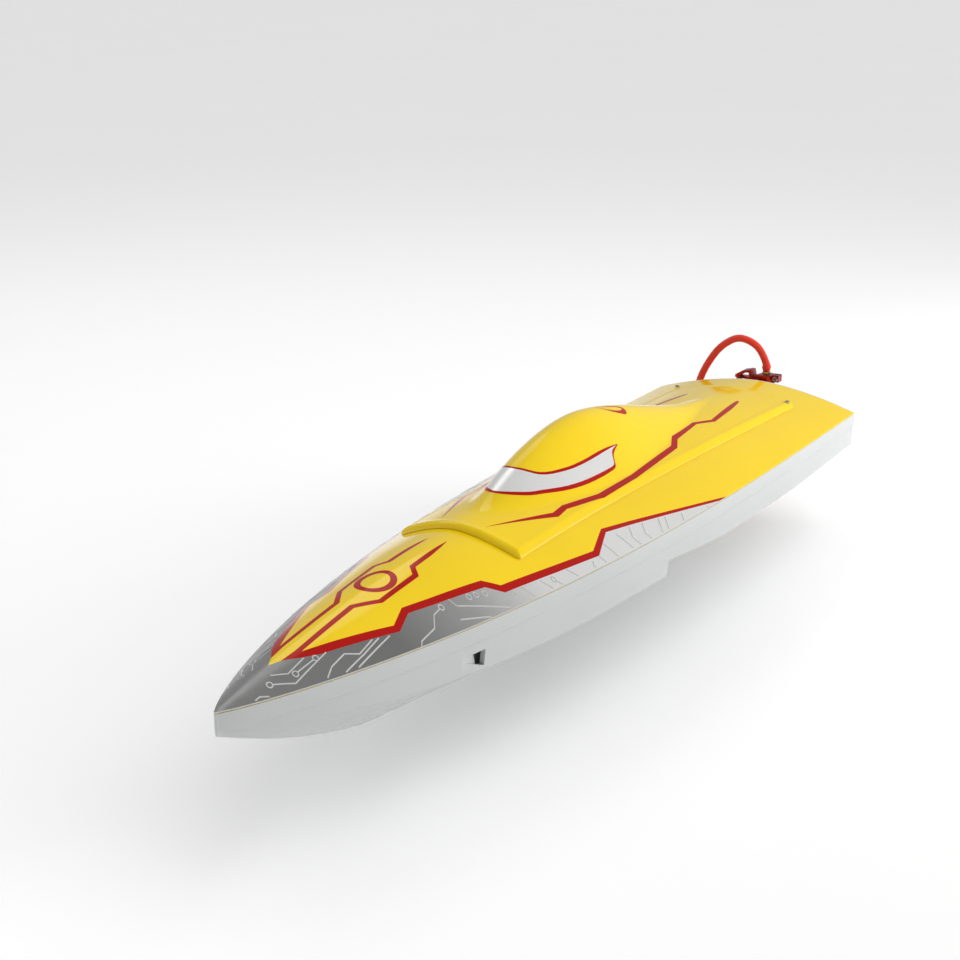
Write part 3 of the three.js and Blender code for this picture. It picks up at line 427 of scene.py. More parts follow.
def keel_z(x, step_x):
    fore = KEEL_FORE_Z + KEEL_SWEEP * past(x, KEEL_SWEEP_X, LENGTH) ** 1.4
    return np.where(x > step_x, fore, KEEL_AFT_Z + KEEL_LIFT * past(x, LIFT_X, STEP_X) ** LIFT_POWER)


def chine_y(x, step_x):
    lean = FLARE * past(x, 0, FLARE_X) * (-chine_z(x, step_x) - BAND_DEPTH)
    return max(half_breadth(x) - BAND_LIP - lean, 0.8)


def stem_round(x):
    """How much of the half breadth is left where the stem rounds over."""
    return max(math.sqrt(1 - float(past(x, LENGTH - STEM_ROUND[0], LENGTH)) ** 2), 0.2)


def sharp_crown(x):
    fore = CROWN * (1 - past(x, CROWN_X, LENGTH) ** 1.425) ** 0.9
    aft = CROWN - (CROWN - CROWN_AFT) * (1 - past(x, 0, CROWN_X)) ** 1.33
    return np.maximum(np.where(np.asarray(x) > CROWN_X, fore, aft), DECK_EDGE + 0.1)


def crown(x):
    return eased(sharp_crown, x, CROWN_EASE)


def deck_z(x, y):
    t = np.minimum(np.abs(y) / half_breadth(x), 1)
    return DECK_EDGE + (crown(x) - DECK_EDGE) * (1 - t ** CROWN_POWER)


def hatch_half(x):
    widening = (1 - past(x, HATCH_AFT, HATCH_FORE)) ** 1.6
    return HATCH_HALF_FORE + (HATCH_HALF_AFT - HATCH_HALF_FORE) * widening


def hatch_front(y):
    return HATCH_FORE + HATCH_BOW * (1 - (y / HATCH_HALF_FORE) ** 2)


def sharp_cockpit(x, y):
    ahead = past(x, COCKPIT_X, COCKPIT_X + COCKPIT_FORE)
    behind = 1 - past(x, COCKPIT_X - COCKPIT_AFT, COCKPIT_X)
    fore = np.asarray(x) > COCKPIT_X
    height = np.where(fore, 1 - ahead ** 1.87, (1 - behind ** 1.67) ** 2.28)
    width = COCKPIT_HALF_WIDTH * np.where(fore, np.sqrt(1 - ahead ** 1.6), 1 - behind ** 1.5)
    across = np.minimum(np.abs(y) / np.maximum(width, 0.01), 1)
    return COCKPIT_HEIGHT * height * (1 - across ** 2) ** 1.24


def hatch_z(x, y):
    t = np.minimum(np.abs(y) / hatch_half(x), 1)
    bulge = HATCH_BULGE * smooth(past(x, 30, 120)) * smooth(1 - past(x, 330, 430))
    dome = eased(lambda s: sharp_cockpit(s, y), x, DOME_EASE)
    return deck_z(x, y) + HATCH_RISE + bulge * (1 - t ** 2) + dome


def from_edge(x, y):
    """How far a place lies inside the hatch's outline."""
    return np.minimum(np.minimum(hatch_half(x) - np.abs(y), x - HATCH_AFT), hatch_front(y) - x)


def hatch_top(x, y):
    """The outer face of the hatch, with a soft bead round it, rounded over at its edge."""
    edge = from_edge(x, y)
    inward = np.clip(HATCH_EDGE - edge, 0, HATCH_EDGE)
    bead = HATCH_BEAD * np.exp(-((edge - HATCH_EDGE) / 2) ** 2)
    return hatch_z(x, y) + bead - 0.8 * (HATCH_EDGE - np.sqrt(HATCH_EDGE ** 2 - inward ** 2))


def hatch_under(x, y):
    """The hatch's flange, which stands off the deck on its seal, and the thin rim outside the seal."""
    rim = from_edge(x, y) < SEAL_INSET - 0.05
    return deck_z(x, y) + np.where(rim, RIM_GAP, SEAL_HEIGHT + 3 * GAP)


def level(z):
    return lambda x, y: np.full(len(y), float(z))


def raised(form, rise):
    return lambda x, y: form(x, y) + rise


# ---- mesh tools
def raw(name, points, faces):
    mesh = bpy.data.meshes.new(name)
    mesh.from_pydata(to_frame(points).tolist(), [], faces)
    return add_object(name, mesh)


def loft(name, rings, closed=False):
    """A skin over rings of equal point count: with two ends, or coming back to its first ring."""
    rings = [np.asarray(ring, float) for ring in rings]
    count, total = len(rings[0]), len(rings)
    faces = []
    for i in range(total if closed else total - 1):
        a, b = i * count, (i + 1) % total * count
        for j in range(count):
            k = (j + 1) % count
            faces.append((a + j, a + k, b + k, b + j))
    if not closed:
        last = (total - 1) * count
        faces += [tuple(range(count - 1, -1, -1)), tuple(range(last, last + count))]
    made = raw(name, np.concatenate(rings), faces)
    face_out(made)
    return made


def face_out(obj):
    bm = bmesh.new()
    bm.from_mesh(obj.data)
    bmesh.ops.remove_doubles(bm, verts=bm.verts, dist=1e-6)
    bmesh.ops.recalc_face_normals(bm, faces=bm.faces)
    if bm.calc_volume(signed=True) < 0:
        bmesh.ops.reverse_faces(bm, faces=bm.faces)
    bm.to_mesh(obj.data)
    bm.free()


def remove(obj):
    mesh = obj.data
    bpy.data.objects.remove(obj)
    bpy.data.meshes.remove(mesh)


def boolean(obj, operation, *tools):
    """Cuts or joins whole solids, then forgets the tools."""
    for tool in tools:
        solid = {"operation": operation, "solver": "MANIFOLD", "object": tool}
        set_all(obj.modifiers.new("solid", "BOOLEAN"), solid)
        apply_modifiers(obj)
        remove(tool)


def apply_modifiers(obj):
    evaluated = obj.evaluated_get(bpy.context.evaluated_depsgraph_get())
    mesh = bpy.data.meshes.new_from_object(evaluated)
    old = obj.data
    obj.modifiers.clear()
    obj.data = mesh
    bpy.data.meshes.remove(old)


def cut(obj, *tools):
    boolean(obj, "DIFFERENCE", *tools)


def join(obj, *tools):
    boolean(obj, "UNION", *tools)


def block(x0, x1, y0, y1, z0, z1):
    corners = [(y0, z0), (y1, z0), (y1, z1), (y0, z1)]
    return loft("block", [[(x, y, z) for y, z in corners] for x in (x0, x1)])


def drilled(radius, start, end):
    """A round tool for cutting a hole."""
    reach = Vector(end) - Vector(start)
    profile = [(0, 0), (radius, 0), (radius, reach.length), (0, reach.length)]
    return turned("drill", profile, start, reach, 32)


def turned(name, profile, start, direction, sides):
    """A solid of revolution from [radius, distance] pairs.

    A profile that comes back to its start has a bore, and a point marked as hexagonal has six flats.
    """
    along = Vector(direction).normalized()
    side = along.orthogonal().normalized()
    along, side, up = (np.array(v) for v in (along, side, along.cross(side)))
    angles = np.arange(sides) * math.tau / sides
    spokes = np.cos(angles)[:, None] * side + np.sin(angles)[:, None] * up
    hexagon = 1 / np.cos((angles + math.pi / 6) % (math.pi / 3) - math.pi / 6)
    rings = []
    for r, d, *shape in profile:
        out = spokes * hexagon[:, None] if shape else spokes
        rings.append(np.array(start) + out * max(r, 1e-3) + along * d)
    closed = profile[0] == profile[-1]
    return loft(name, rings[:-1] if closed else rings, closed)


def read(items, field, width, kind):
    """One field of every item, as rows of an array."""
    values = np.zeros(len(items) * width, kind)
    items.foreach_get(field, values)
    return values.reshape(-1, width)


def soft_edges(obj, angle):
    """Smooth faces with creases kept where they turn by more than an angle."""
    obj.data.polygons.foreach_set("use_smooth", [True] * len(obj.data.polygons))
    obj.data.set_sharp_from_angle(angle=math.radians(angle))
    obj.data.update()


def finish_piece(obj, name, node_name, materials, angle=30):
    """Names a piece, gives it its looks and puts it on the body of the node that it stands for."""
    obj.name = name
    obj.data.name = name
    slots = read(obj.data.polygons, "material_index", 1, np.int32)
    obj.data.materials.clear()
    for material in materials:
        obj.data.materials.append(material)
    obj.data.polygons.foreach_set("material_index", slots.ravel())
    soft_edges(obj, angle)
    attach(obj, BODY_OF[node_name])
    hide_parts(node_name)


def rounded(points, radius, steps=3):
    """A ring with each corner turned into a short curve."""
    points = [np.array(p, float) for p in points]
    made = []
    for i, corner in enumerate(points):
        ends = []
        for away in (points[i - 1] - corner, points[(i + 1) % len(points)] - corner):
            size = np.linalg.norm(away)
            ends.append(corner + away * (min(radius, 0.4 * size) / max(size, 1e-9)))
        first, last = ends
        for t in np.linspace(0, 1, steps):
            made.append((1 - t) ** 2 * first + 2 * t * (1 - t) * corner + t ** 2 * last)
    return made


def layer(name, xs, half, top, bottom, across):
    """A solid between two height functions, over a plan outline given by its half-width."""
    rings = []
    for x in xs:
        ys = across * half(x)
        upper = np.column_stack([np.full(len(ys), x), ys, top(x, ys)])
        lower = np.column_stack([np.full(len(ys), x), ys[::-1], bottom(x, ys[::-1])])
        rings.append(np.vstack([upper, lower]))
    return loft(name, rings)


def hatch_layer(name, inset, top, bottom, along, across, near=()):
    """The hatch's outline moved in by a distance, with a front edge that bows forward.

    Steps near the edge, if there are any, round its corners and give its edge a finer mesh.
    """
    aft, fore = HATCH_AFT + inset, HATCH_FORE - inset
    core = EDGE_REACH if near else 0
    xs = [aft + e for e in near] + list(np.linspace(aft + core, fore - core, along))
    xs += [fore - e for e in near[::-1]]
    rings = []
    for x in xs:
        half = hatch_half(x) - inset
        if near:
            short = max(HATCH_CORNER - min(x - aft, fore - x), 0)
            half -= HATCH_CORNER - math.sqrt(HATCH_CORNER ** 2 - short ** 2)
        side = [half - e for e in near]
        ys = np.array([*side, *np.linspace(half - core, core - half, across), *[-s for s in side[::-1]]])
        bow = HATCH_BOW * (1 - (ys / (hatch_half(fore) - inset)) ** 2) * past(x, COCKPIT_X, fore) ** 3
        xx = x + np.maximum(bow, 0)
        upper = np.column_stack([xx, ys, top(xx, ys)])
        lower = np.column_stack([xx, ys, bottom(xx, ys)])[::-1]
        rings.append(np.vstack([upper, lower]))
    return loft(name, rings)


# ---- painted regions
# The last slot is the rim's grey, a painted shade line along the deck's edge.
GROUND, RED_SLOT, SILVER_SLOT, SHADE_LINE_SLOT = range(4)
UPWARD, SKIN_DEPTH = 0.05, 0.6
BOX_MARGIN, END_MARGIN, SIDE_MARGIN = 6 * MM, 4 * MM, 5 * MM


def unit_rows(rows):
    return rows / np.linalg.norm(rows, axis=1)[:, None]


def ribbon(points):
    """The outline of a painted line from [x, y, half-width] points, mitred at its bends."""
    line = np.array(points, float)
    steps = unit_rows(np.diff(line[:, :2], axis=0))
    normals = np.column_stack([-steps[:, 1], steps[:, 0]])
    left, right = [], []
    for i, (x, y, half) in enumerate(line):
        a, b = normals[max(i - 1, 0)], normals[min(i, len(normals) - 1)]
        mitre = (a + b) / max(1 + a @ b, 0.35)
        left.append((x + mitre[0] * half, y + mitre[1] * half))
        right.append((x - mitre[0] * half, y - mitre[1] * half))
    return left + right[::-1]


def circle(x, y, radius_x, radius_y, count=40):
    angles = np.arange(count) * math.tau / count
    return [(x + radius_x * math.cos(a), y + radius_y * math.sin(a)) for a in angles]


def mirrored(outline):
    return [(x, -y) for x, y in outline[::-1]]


def inside(polygon, x, y):
    """Which points lie in a polygon."""
    hits = np.zeros(len(x), bool)
    for (x0, y0), (x1, y1) in zip(polygon, polygon[1:] + polygon[:1]):
        crosses = (y0 > y) != (y1 > y)
        with np.errstate(divide="ignore", invalid="ignore"):
            hits ^= crosses & (x < (x1 - x0) * (y - y0) / (y1 - y0) + x0)
    return hits


def with_edges(faces):
    """Faces with their edges and corners."""
    edges, corners = {e for f in faces for e in f.edges}, {v for f in faces for v in f.verts}
    return list(edges) + list(corners) + faces


def cut_outline(bm, polygon):
    """Adds edges along an outline to the faces that look up."""
    points = [to_frame((x, y, 0)) for x, y in polygon]
    low, high = np.min(points, axis=0) - BOX_MARGIN, np.max(points, axis=0) + BOX_MARGIN
    close = []
    for face in bm.faces:
        if face.normal.z > UPWARD:
            centre = face.calc_center_median()
            if low[0] < centre.x < high[0] and low[1] < centre.y < high[1]:
                close.append(face)
    for start, end in zip(points, points[1:] + points[:1]):
        step = Vector(end - start)
        length = step.length
        if length < 1e-7:
            continue
        step /= length
        square = Vector((-step.y, step.x, 0))
        wanted = []
        for face in close:
            away = face.calc_center_median() - Vector(start)
            along = away.dot(step)
            if -END_MARGIN < along < length + END_MARGIN and abs(away.dot(square)) < SIDE_MARGIN:
                wanted.append(face)
        result = bmesh.ops.bisect_plane(
            bm, geom=with_edges(wanted), dist=1e-6, plane_co=Vector(start), plane_no=square,
        )
        fresh = [g for g in result["geom"] if isinstance(g, bmesh.types.BMFace)]
        close = [f for f in {*close, *fresh} if f.is_valid]


def paint(obj, regions, top):
    """Gives the upper faces inside each outline their material, on both sides of the boat."""
    bm = bmesh.new()
    bm.from_mesh(obj.data)
    for outline, _ in regions:
        for polygon in (outline, mirrored(outline)):
            cut_outline(bm, polygon)
    bm.faces.ensure_lookup_table()
    centres = np.array([f.calc_center_median() for f in bm.faces]) / MM - ORIGIN
    up = np.array([f.normal.z > UPWARD for f in bm.faces])
    above = up & (np.abs(centres[:, 2] - top(centres[:, 0], centres[:, 1])) < SKIN_DEPTH)
    slots = np.zeros(len(centres), int)
    for outline, slot in regions:
        chosen = inside(outline, centres[:, 0], np.abs(centres[:, 1]))
        slots[chosen & above] = slot
    # Upright rim faces within the silver's reach get grey gelcoat, a painted shade line along the edge.
    rim = ~up & (centres[:, 2] > SEAM_LINE) & (centres[:, 2] < RIM_TOP) & (centres[:, 0] > BORDER[-1][0])
    slots[rim] = SHADE_LINE_SLOT
    for face, slot in zip(bm.faces, slots):
        face.material_index = int(slot)
    for vertex in {v for f, a in zip(bm.faces, above) if a for v in f.verts}:
        if all(f.normal.z > UPWARD for f in vertex.link_faces):
            x, y = vertex.co.x / MM - ORIGIN[0], vertex.co.y / MM
            vertex.co.z = (float(top(x, y)) + ORIGIN[2]) * MM
    bm.to_mesh(obj.data)
    bm.free()


def true_normals(obj, top, tolerance=0.08):
    """Shades the upper faces by the form itself, so that cuts and facets don't show in the gloss."""
    mesh = obj.data
    corners = read(mesh.corner_normals, "vector", 3, np.float32)
    index = read(mesh.loops, "vertex_index", 1, np.int32)[:, 0]
    points = read(mesh.vertices, "co", 3, np.float32)[index] / MM - ORIGIN
    x, y = points[:, 0], points[:, 1]
    step = 0.05
    slope_x = (top(x + step, y) - top(x - step, y)) / (2 * step)
    slope_y = (top(x, y + step) - top(x, y - step)) / (2 * step)
    form = unit_rows(np.column_stack([-slope_x, -slope_y, np.ones(len(x))]))
    agree = (np.abs(points[:, 2] - top(x, y)) < tolerance) & (np.sum(form * corners, axis=1) > 0.9)
    corners[agree] = form[agree]
    mesh.normals_split_custom_set(corners.tolist())


# ---- hull
def both_sides(side):
    """A section's outline from its port half."""
    return side + [(-y, z) for y, z in side[::-1]]


def hull_ring(x):
    """The hull's section, with a gunwale band, a chine, two strakes and a flat pad along the keel."""
    x = float(x)
    y = float(half_breadth(x))
    yc, zc = float(chine_y(x, STEP_X)), float(chine_z(x, STEP_X))
    yk, zk = min(PAD_HALF_WIDTH, 0.3 * y), float(keel_z(x, STEP_X))
    lip = min(BAND_LIP, 0.1 * y)
    band = max(-BAND_DEPTH, zc + 1.5)
    side = [(y, -GAP / 2), (y, band), (max(y - lip, yc), band - 0.6), (yc, zc)]
    rise = (zc - zk) / (yc - yk)
    depth = STRAKE_DEPTH * float(smooth(1 - past(x, 440, 560)))
    for share in STRAKES:
        ys = yk + share * (yc - yk)
        zs = zk + share * (zc - zk) - BOTTOM_BULGE * share * (1 - share)
        side += [(ys, zs), (ys, zs - depth), (ys - min(depth / rise, 0.12 * yc), zs - depth)]
    side.append((yk, zk))
    ring = rounded(both_sides(side), 0.6)
    return [(x, a * stem_round(x), b) for a, b in ring]


def hull_space(wall, top=40):
    """The room inside the hull."""
    step = STEP_X + wall
    xs = [wall, CHINE_DIP_X, LIFT_X, 240, 268, step, step + 0.1]
    xs += [CHINE_SWEEP_X, 410, 460, KEEL_SWEEP_X, 530, BOW_BLOCK_X - wall]
    rings = []
    for x in xs:
        y = float(half_breadth(x)) - BAND_LIP - wall
        inner = chine_y(x, step) - wall
        keel = (min(PAD_HALF_WIDTH, 0.3 * float(half_breadth(x))), float(keel_z(x, step)) + wall)
        side = [(y, top), (y, -BAND_DEPTH), (inner, float(chine_z(x, step)) + wall), keel]
        rings.append([(x, a, b) for a, b in both_sides(side)])
    return loft("space", rings)


def make_hull():
    xs = [0, 0.4, 1.2, *np.linspace(4, STEP_X - 2, 75), STEP_X - 0.4, STEP_X]
    xs += [STEP_X + 0.1, STEP_X + 0.5, *np.linspace(STEP_X + 3, 560, 70)]
    xs += [*np.linspace(563, LENGTH - 1.5, 26), *[LENGTH - d for d in STEM_ROUND]]
    hull = loft("hull", [hull_ring(x) for x in xs])
    height = VENT_TOP - VENT_BOTTOM
    y0 = float(half_breadth(VENT_AFT)) - BAND_LIP - 1
    slope = (float(half_breadth(VENT_FORE)) - BAND_LIP - y0) / (VENT_FORE - VENT_AFT)
    outline = [(VENT_AFT, 0), (VENT_AFT, -VENT_DEPTH), (VENT_FORE, 0.6), (VENT_FORE, 6), (VENT_AFT, 6)]
    scoop = []
    for low in (0, height):
        ring = []
        for x, y in outline:
            share = (x - VENT_AFT) / (VENT_FORE - VENT_AFT)
            z = VENT_BOTTOM + low * (1 - share) + share * (height - (0 if low else 1))
            ring.append((x, y + y0 + slope * (x - VENT_AFT), z))
        scoop.append(ring)
    slot = block(VENT_AFT, VENT_AFT + VENT_SLOT, y0 - 14, y0 + 6, VENT_BOTTOM + 0.8, VENT_TOP - 0.8)
    holes = [tube("drive_hole", DRIVE_LINE, 3.7, 0, 40, 24)]
    holes += [drilled(SCREW_HOLE, (x, 0, -60), (x, 0, -30)) for x in STRUT_SCREW_X]
    holes += [drilled(r, (-5, y, z), (10, y, z)) for r, y, z in TRANSOM_HOLES]
    cut(hull, hull_space(HULL_WALL), loft("scoop", scoop), slot, *holes)
    finish_piece(hull, "hull_skin", "hull_shell", [LOOKS["grey_gelcoat"]], 28)


def blend(s, start, end, first, last):
    """Between two points, as far as s lies from start to end."""
    return (end - s) / (end - start) * first + (s - start) / (end - start) * last


def spline(points, count):
    """Points along a centripetal Catmull-Rom curve."""
    p = [np.array(q, float) for q in points]
    p = [2 * p[0] - p[1]] + p + [2 * p[-1] - p[-2]]
    made = []
    spans = len(p) - 3
    for k in range(count):
        u = k / (count - 1) * spans
        i = min(int(u), spans - 1)
        a, b, c, d = p[i:i + 4]
        t = [0.0]
        for first, second in ((a, b), (b, c), (c, d)):
            t.append(t[-1] + max(np.linalg.norm(second - first), 1e-6) ** 0.5)
        s = t[1] + (t[2] - t[1]) * (u - i)
        ab = blend(s, t[0], t[1], a, b)
        bc = blend(s, t[1], t[2], b, c)
        cd = blend(s, t[2], t[3], c, d)
        abc = blend(s, t[0], t[2], ab, bc)
        bcd = blend(s, t[1], t[3], bc, cd)
        made.append(blend(s, t[1], t[2], abc, bcd))
    return made


def tube(name, points, radius, bore, count, sides):
    """A round tube along a smooth route. The radius may change along it."""
    path = spline(points, count)
    radius_at = radius if callable(radius) else lambda u: radius
    tangents = [path[min(i + 1, count - 1)] - path[max(i - 1, 0)] for i in range(count)]
    side = np.array(Vector(tangents[0]).normalized().orthogonal().normalized())
    angles = np.arange(sides) * math.tau / sides
    outer, inner = [], []
    for i, (centre, tangent) in enumerate(zip(path, tangents)):
        tangent = tangent / np.linalg.norm(tangent)
        side = side - tangent * (side @ tangent)
        side /= np.linalg.norm(side)
        up = np.cross(tangent, side)
        spokes = np.cos(angles)[:, None] * side + np.sin(angles)[:, None] * up
        size = radius_at(i / (count - 1))
        outer.append(centre + spokes * size)
        inner.append(centre + spokes * (bore + (size - radius_at(0.5))))
    return loft(name, outer + inner[::-1] if bore else outer, closed=bore > 0)


SHAFT_Z = -57
STRUT_SCREW_X = [6, 46]
BRACKET_SCREWS = [(PIVOT_Y + dy, z) for dy in (-9.5, 9.5) for z in (-22, -4)]
FITTINGS = [(2.9, -51.8, -10), (2.9, 40, -12), (3.3, 18, -30)]
TRANSOM_HOLES = [(SCREW_HOLE, y, z) for y, z in BRACKET_SCREWS] + FITTINGS
DRIVE_LINE = [
    (39, 0, SHAFT_Z), (70, 0, -54.5), (105, 0, -48), (140, 0, -38.5), (168, 0, -31.7), (186, 0, -29),
]

# ---- deck and hatch
BORDER = [
    (575.5, 2.9, 0.05), (567, 7.0, 1.7), (558, 11.2, 2.3), (516.3, 26.6, 1.7), (503.7, 23.0, 1.8),
    (487.9, 27.2, 1.85), (451.7, 35.7, 1.9), (443.7, 42.9, 1.9), (399.7, 50.5, 1.85), (365.8, 56.0, 1.75),
    (343.0, 48.7, 1.45), (319.0, 53.4, 1.3), (233.0, 71.6, 0.85), (226.0, 73.2, 0.85),
]
FOREDECK_LINE = [
    (575.5, 2.9, 0.05), (566, 4.9, 1.3), (521.6, 4.5, 1.5), (508.2, 12.1, 1.35), (477.8, 12.5, 1.55),
    (472.4, 7.1, 1.45), (456.5, 6.7, 1.5), (446, 6.1, 1.0), (437, 5.5, 0.1),
]
HATCH_STRIPE = [
    (411.8, 13.8, 0.05), (363.2, 29.6, 1.9), (351.0, 28.4, 1.75), (317.0, 33.8, 2.05), (273.6, 33.6, 2.0),
    (207.5, 29.0, 2.0), (194.1, 23.1, 1.9), (155.5, 19.6, 1.5), (138.0, 25.2, 1.5), (104.0, 21.8, 1.9),
    (86, 19.6, 1.4), (80.7, 18.9, 0.7),
]
WINDOW_TOP = [
    (359.3, -2, 0.7), (359.2, 2, 0.7), (354.6, 8.8, 0.6), (347.4, 13.3, 0.5), (329.5, 17.9, 0.5),
    (312.2, 20.0, 0.5), (292.9, 20.8, 0.5), (271.1, 20.9, 0.1),
]
WINDOW_END = [
    (271.1, 20.9, 0.1), (280.5, 22.7, 0.5), (282.3, 23.8, 0.5), (284.4, 26.1, 0.5), (288.3, 26.7, 0.5),
]
WINDOW_BOTTOM = [
    (288.3, 26.7, 0.5), (299.0, 26.5, 0.6), (318.0, 25.1, 0.65), (337.2, 22.1, 0.65), (354.0, 17.6, 0.65),
    (366.5, 13.0, 0.7), (376.2, 6.4, 0.8), (379.4, 1.5, 0.8), (379.4, -2, 0.8),
]
HOOK = [
    (263.5, 1.3, 0.1), (252.5, 6.2, 0.7), (243.2, 8.0, 1.1), (237.0, 8.0, 1.6), (233.9, 5.6, 1.5),
    (238.5, 3.4, 0.8), (249.9, 2.3, 0.5), (262.6, 1.0, 0.1),
]
TRACES = [
    [(591.2, 8.1), (581.2, 15.1), (556.5, 14.2)],
    [(577.4, 12.2), (563.1, 13.0)],
    [(586.6, 5.1), (580.1, 10), (567.2, 9.4)],
    [(566.6, 22.2), (560.6, 20.2), (550.1, 19.9), (543.9, 24.1), (532.1, 23.3)],
    [(556.9, 25.5), (541.9, 25.4), (528.7, 24.6)],
    [(549.7, 27.6), (522.8, 26.9)],
    [(602.5, 8.7), (599.4, 8.9), (595.9, 11.5)],
    [(485.5, 32.2), (492.8, 32.6), (498.9, 36.8), (510.6, 37), (512.9, 38.4)],
    [(478, 31.4), (477.1, 36), (448.7, 51)],
    [(482, 41.1), (464.3, 48.4)],
    [(432.4, 47.4), (429.8, 54)],
    [(418, 50.3), (414.8, 56.5)],
    [(409.4, 53.5), (406.6, 57.8)],
    [(395.7, 52.9), (392.2, 59.4)],
]
PADS = [
    (591.2, 8.1), (577.4, 12.2), (563.1, 13.0), (485.5, 32.2), (466.3, 36.4), (461.6, 37.6),
    (456.1, 39.5), (440.8, 47.4), (409.4, 53.5),
]
CROSS_TRACES = [
    (376, 0.4, 0.9), (366, 0.6, 0.6), (354, 0.75, 0.75), (338, 0.9, 0.9), (330, 0.5, 1), (318, 0.45, 1),
    (305, 0.08, 1), (298, 0.08, 1), (280, 0.08, 1), (250, 0.08, 1),
]
TRACE_HALF_WIDTH, PAD_RADIUS, FILM = 0.3, 1.4, 0.13
NOSE = (581.5, 0)
REAR_RIM = 1.3
RING = (494.9, 0, 11.9, 10.3, 1.75)


def deck_regions():
    beyond = HALF_BEAM + 15
    silver = [NOSE] + [(x, y) for x, y, _ in BORDER]
    silver += [(BORDER[-1][0], beyond), (LENGTH + 20, beyond), (LENGTH + 20, 0)]
    x, y, radius_x, radius_y, half = RING
    rear_rim = [(-2, 0), (-2, beyond), (REAR_RIM, beyond), (REAR_RIM, 0)]
    return [
        (silver, SILVER_SLOT),
        (rear_rim, SILVER_SLOT),
        (ribbon(BORDER), RED_SLOT),
        (ribbon(FOREDECK_LINE), RED_SLOT),
        (circle(x, y, radius_x, radius_y), RED_SLOT),
        (circle(x, y, radius_x - 2 * half, radius_y - 2 * half), GROUND),
    ]


def face_edge(deck):
    """Divides the deck's upright edge just above the seam, so that the grey painted shade line on the rim
    stops short of the seam.
    """
    bm = bmesh.new()
    bm.from_mesh(deck.data)
    edge_z = float(at(0, 0, SEAM_LINE).z)
    low = float(at(0, 0, 1).z)
    upright = [f for f in bm.faces if abs(f.normal.z) < 0.3 and f.calc_center_median().z < low]
    bmesh.ops.bisect_plane(
        bm, geom=with_edges(upright), dist=1e-6, plane_co=(0, 0, edge_z), plane_no=(0, 0, 1),
    )
    bm.to_mesh(deck.data)
    bm.free()


def hatch_screw_holes():
    return [drilled(HATCH_SCREW_HOLE, (x, y, -10), (x, y, 30)) for x, y in HATCH_SCREWS]


def make_deck():
    xs = [0, 0.5, *np.linspace(4, 560, 140), *np.linspace(562.5, LENGTH - 1.5, 30)]
    xs += [LENGTH - d for d in STEM_ROUND]
    even = np.linspace(1, -1, 61)
    across = np.sign(even) * np.sin(np.abs(even) * math.pi / 2) ** 0.9
    deck = layer("deck", xs, lambda x: half_breadth(x) * stem_round(x), deck_z, level(GAP / 2), across)
    hollow = layer(
        "hollow", [2.5, *np.linspace(20, 584, 60)], lambda x: half_breadth(x) - DECK_SIDE_WALL,
        lambda x, y: np.maximum(deck_z(x, y) - DECK_WALL, -0.5), level(-1), np.linspace(1, -1, 31),
    )
    opening = hatch_layer("opening", OPENING_INSET, level(60), level(-10), 40, 9)
    bellows_y = PIVOT_Y - TILLER
    bellows = drilled(BELLOWS_HOLE, (-5, bellows_y, BELLOWS_Z), (10, bellows_y, BELLOWS_Z))
    cut(deck, hollow, opening, *hatch_screw_holes(), bellows)
    face_edge(deck)
    paint(deck, deck_regions(), deck_z)
    # The grey gelcoat in the fourth slot is the rim's painted shade line.
    paints = [LOOKS["yellow_gelcoat"], RED_PAINT, SILVER_PAINT_WITH_PAINTED_LIGHT, LOOKS["grey_gelcoat"]]
    finish_piece(deck, "deck_skin", "deck_shell", paints, 35)
    true_normals(deck, deck_z)


def hatch_regions():
    edges = [[tuple(p) for p in spline(line, 26)] for line in (WINDOW_TOP, WINDOW_END, WINDOW_BOTTOM)]
    window = [(x, y) for line in edges for x, y, _ in line]
    hook = [tuple(p) for p in spline(HOOK, 40)]
    # The window takes the silver's nearly white end, which is painted light.
    return [(window, SILVER_SLOT)] + [(ribbon(line), RED_SLOT) for line in (*edges, HATCH_STRIPE, hook)]


def make_hatch():
    hatch = hatch_layer("hatch", 0, hatch_top, hatch_under, 130, 71, EDGE_STEPS)
    hollow = hatch_layer("hollow", 3, raised(hatch_z, -HATCH_WALL), raised(deck_z, -20), 60, 31)
    lip = hatch_layer("lip", LIP_OUTSIDE, raised(hatch_z, -0.8), raised(deck_z, -4), 40, 25)
    cut(lip, hatch_layer("core", LIP_INSIDE, raised(hatch_z, 5), raised(deck_z, -9), 40, 25))
    cut(hatch, hollow)
    join(hatch, lip)
    cut(hatch, *hatch_screw_holes())
    paint(hatch, hatch_regions(), hatch_top)
    paints = [LOOKS["yellow_gelcoat"], RED_PAINT, SILVER_PAINT_WITH_PAINTED_LIGHT]
    finish_piece(hatch, "hatch_skin", "hatch_cover", paints, 35)
    true_normals(hatch, hatch_top)


# ---- printed lines
def film(name, line, closed=False):
    """A printed line a little proud of the deck, from [x, y] points close enough to follow it."""
    line = np.array(line, float)
    ahead = np.roll(line, -1, axis=0) - line
    back = line - np.roll(line, 1, axis=0)
    if not closed:
        ahead[-1], back[0] = back[-1], ahead[0]
    along = unit_rows(unit_rows(ahead) + unit_rows(back))
    side = np.column_stack([-along[:, 1], along[:, 0]]) * TRACE_HALF_WIDTH
    rings = []
    for point, offset in zip(line, side):
        left, right = point + offset, point - offset
        z = [float(deck_z(*p)) for p in (left, right)]
        rings.append([(*left, z[0]), (*left, z[0] + FILM), (*right, z[1] + FILM), (*right, z[1])])
    return loft(name, rings, closed)


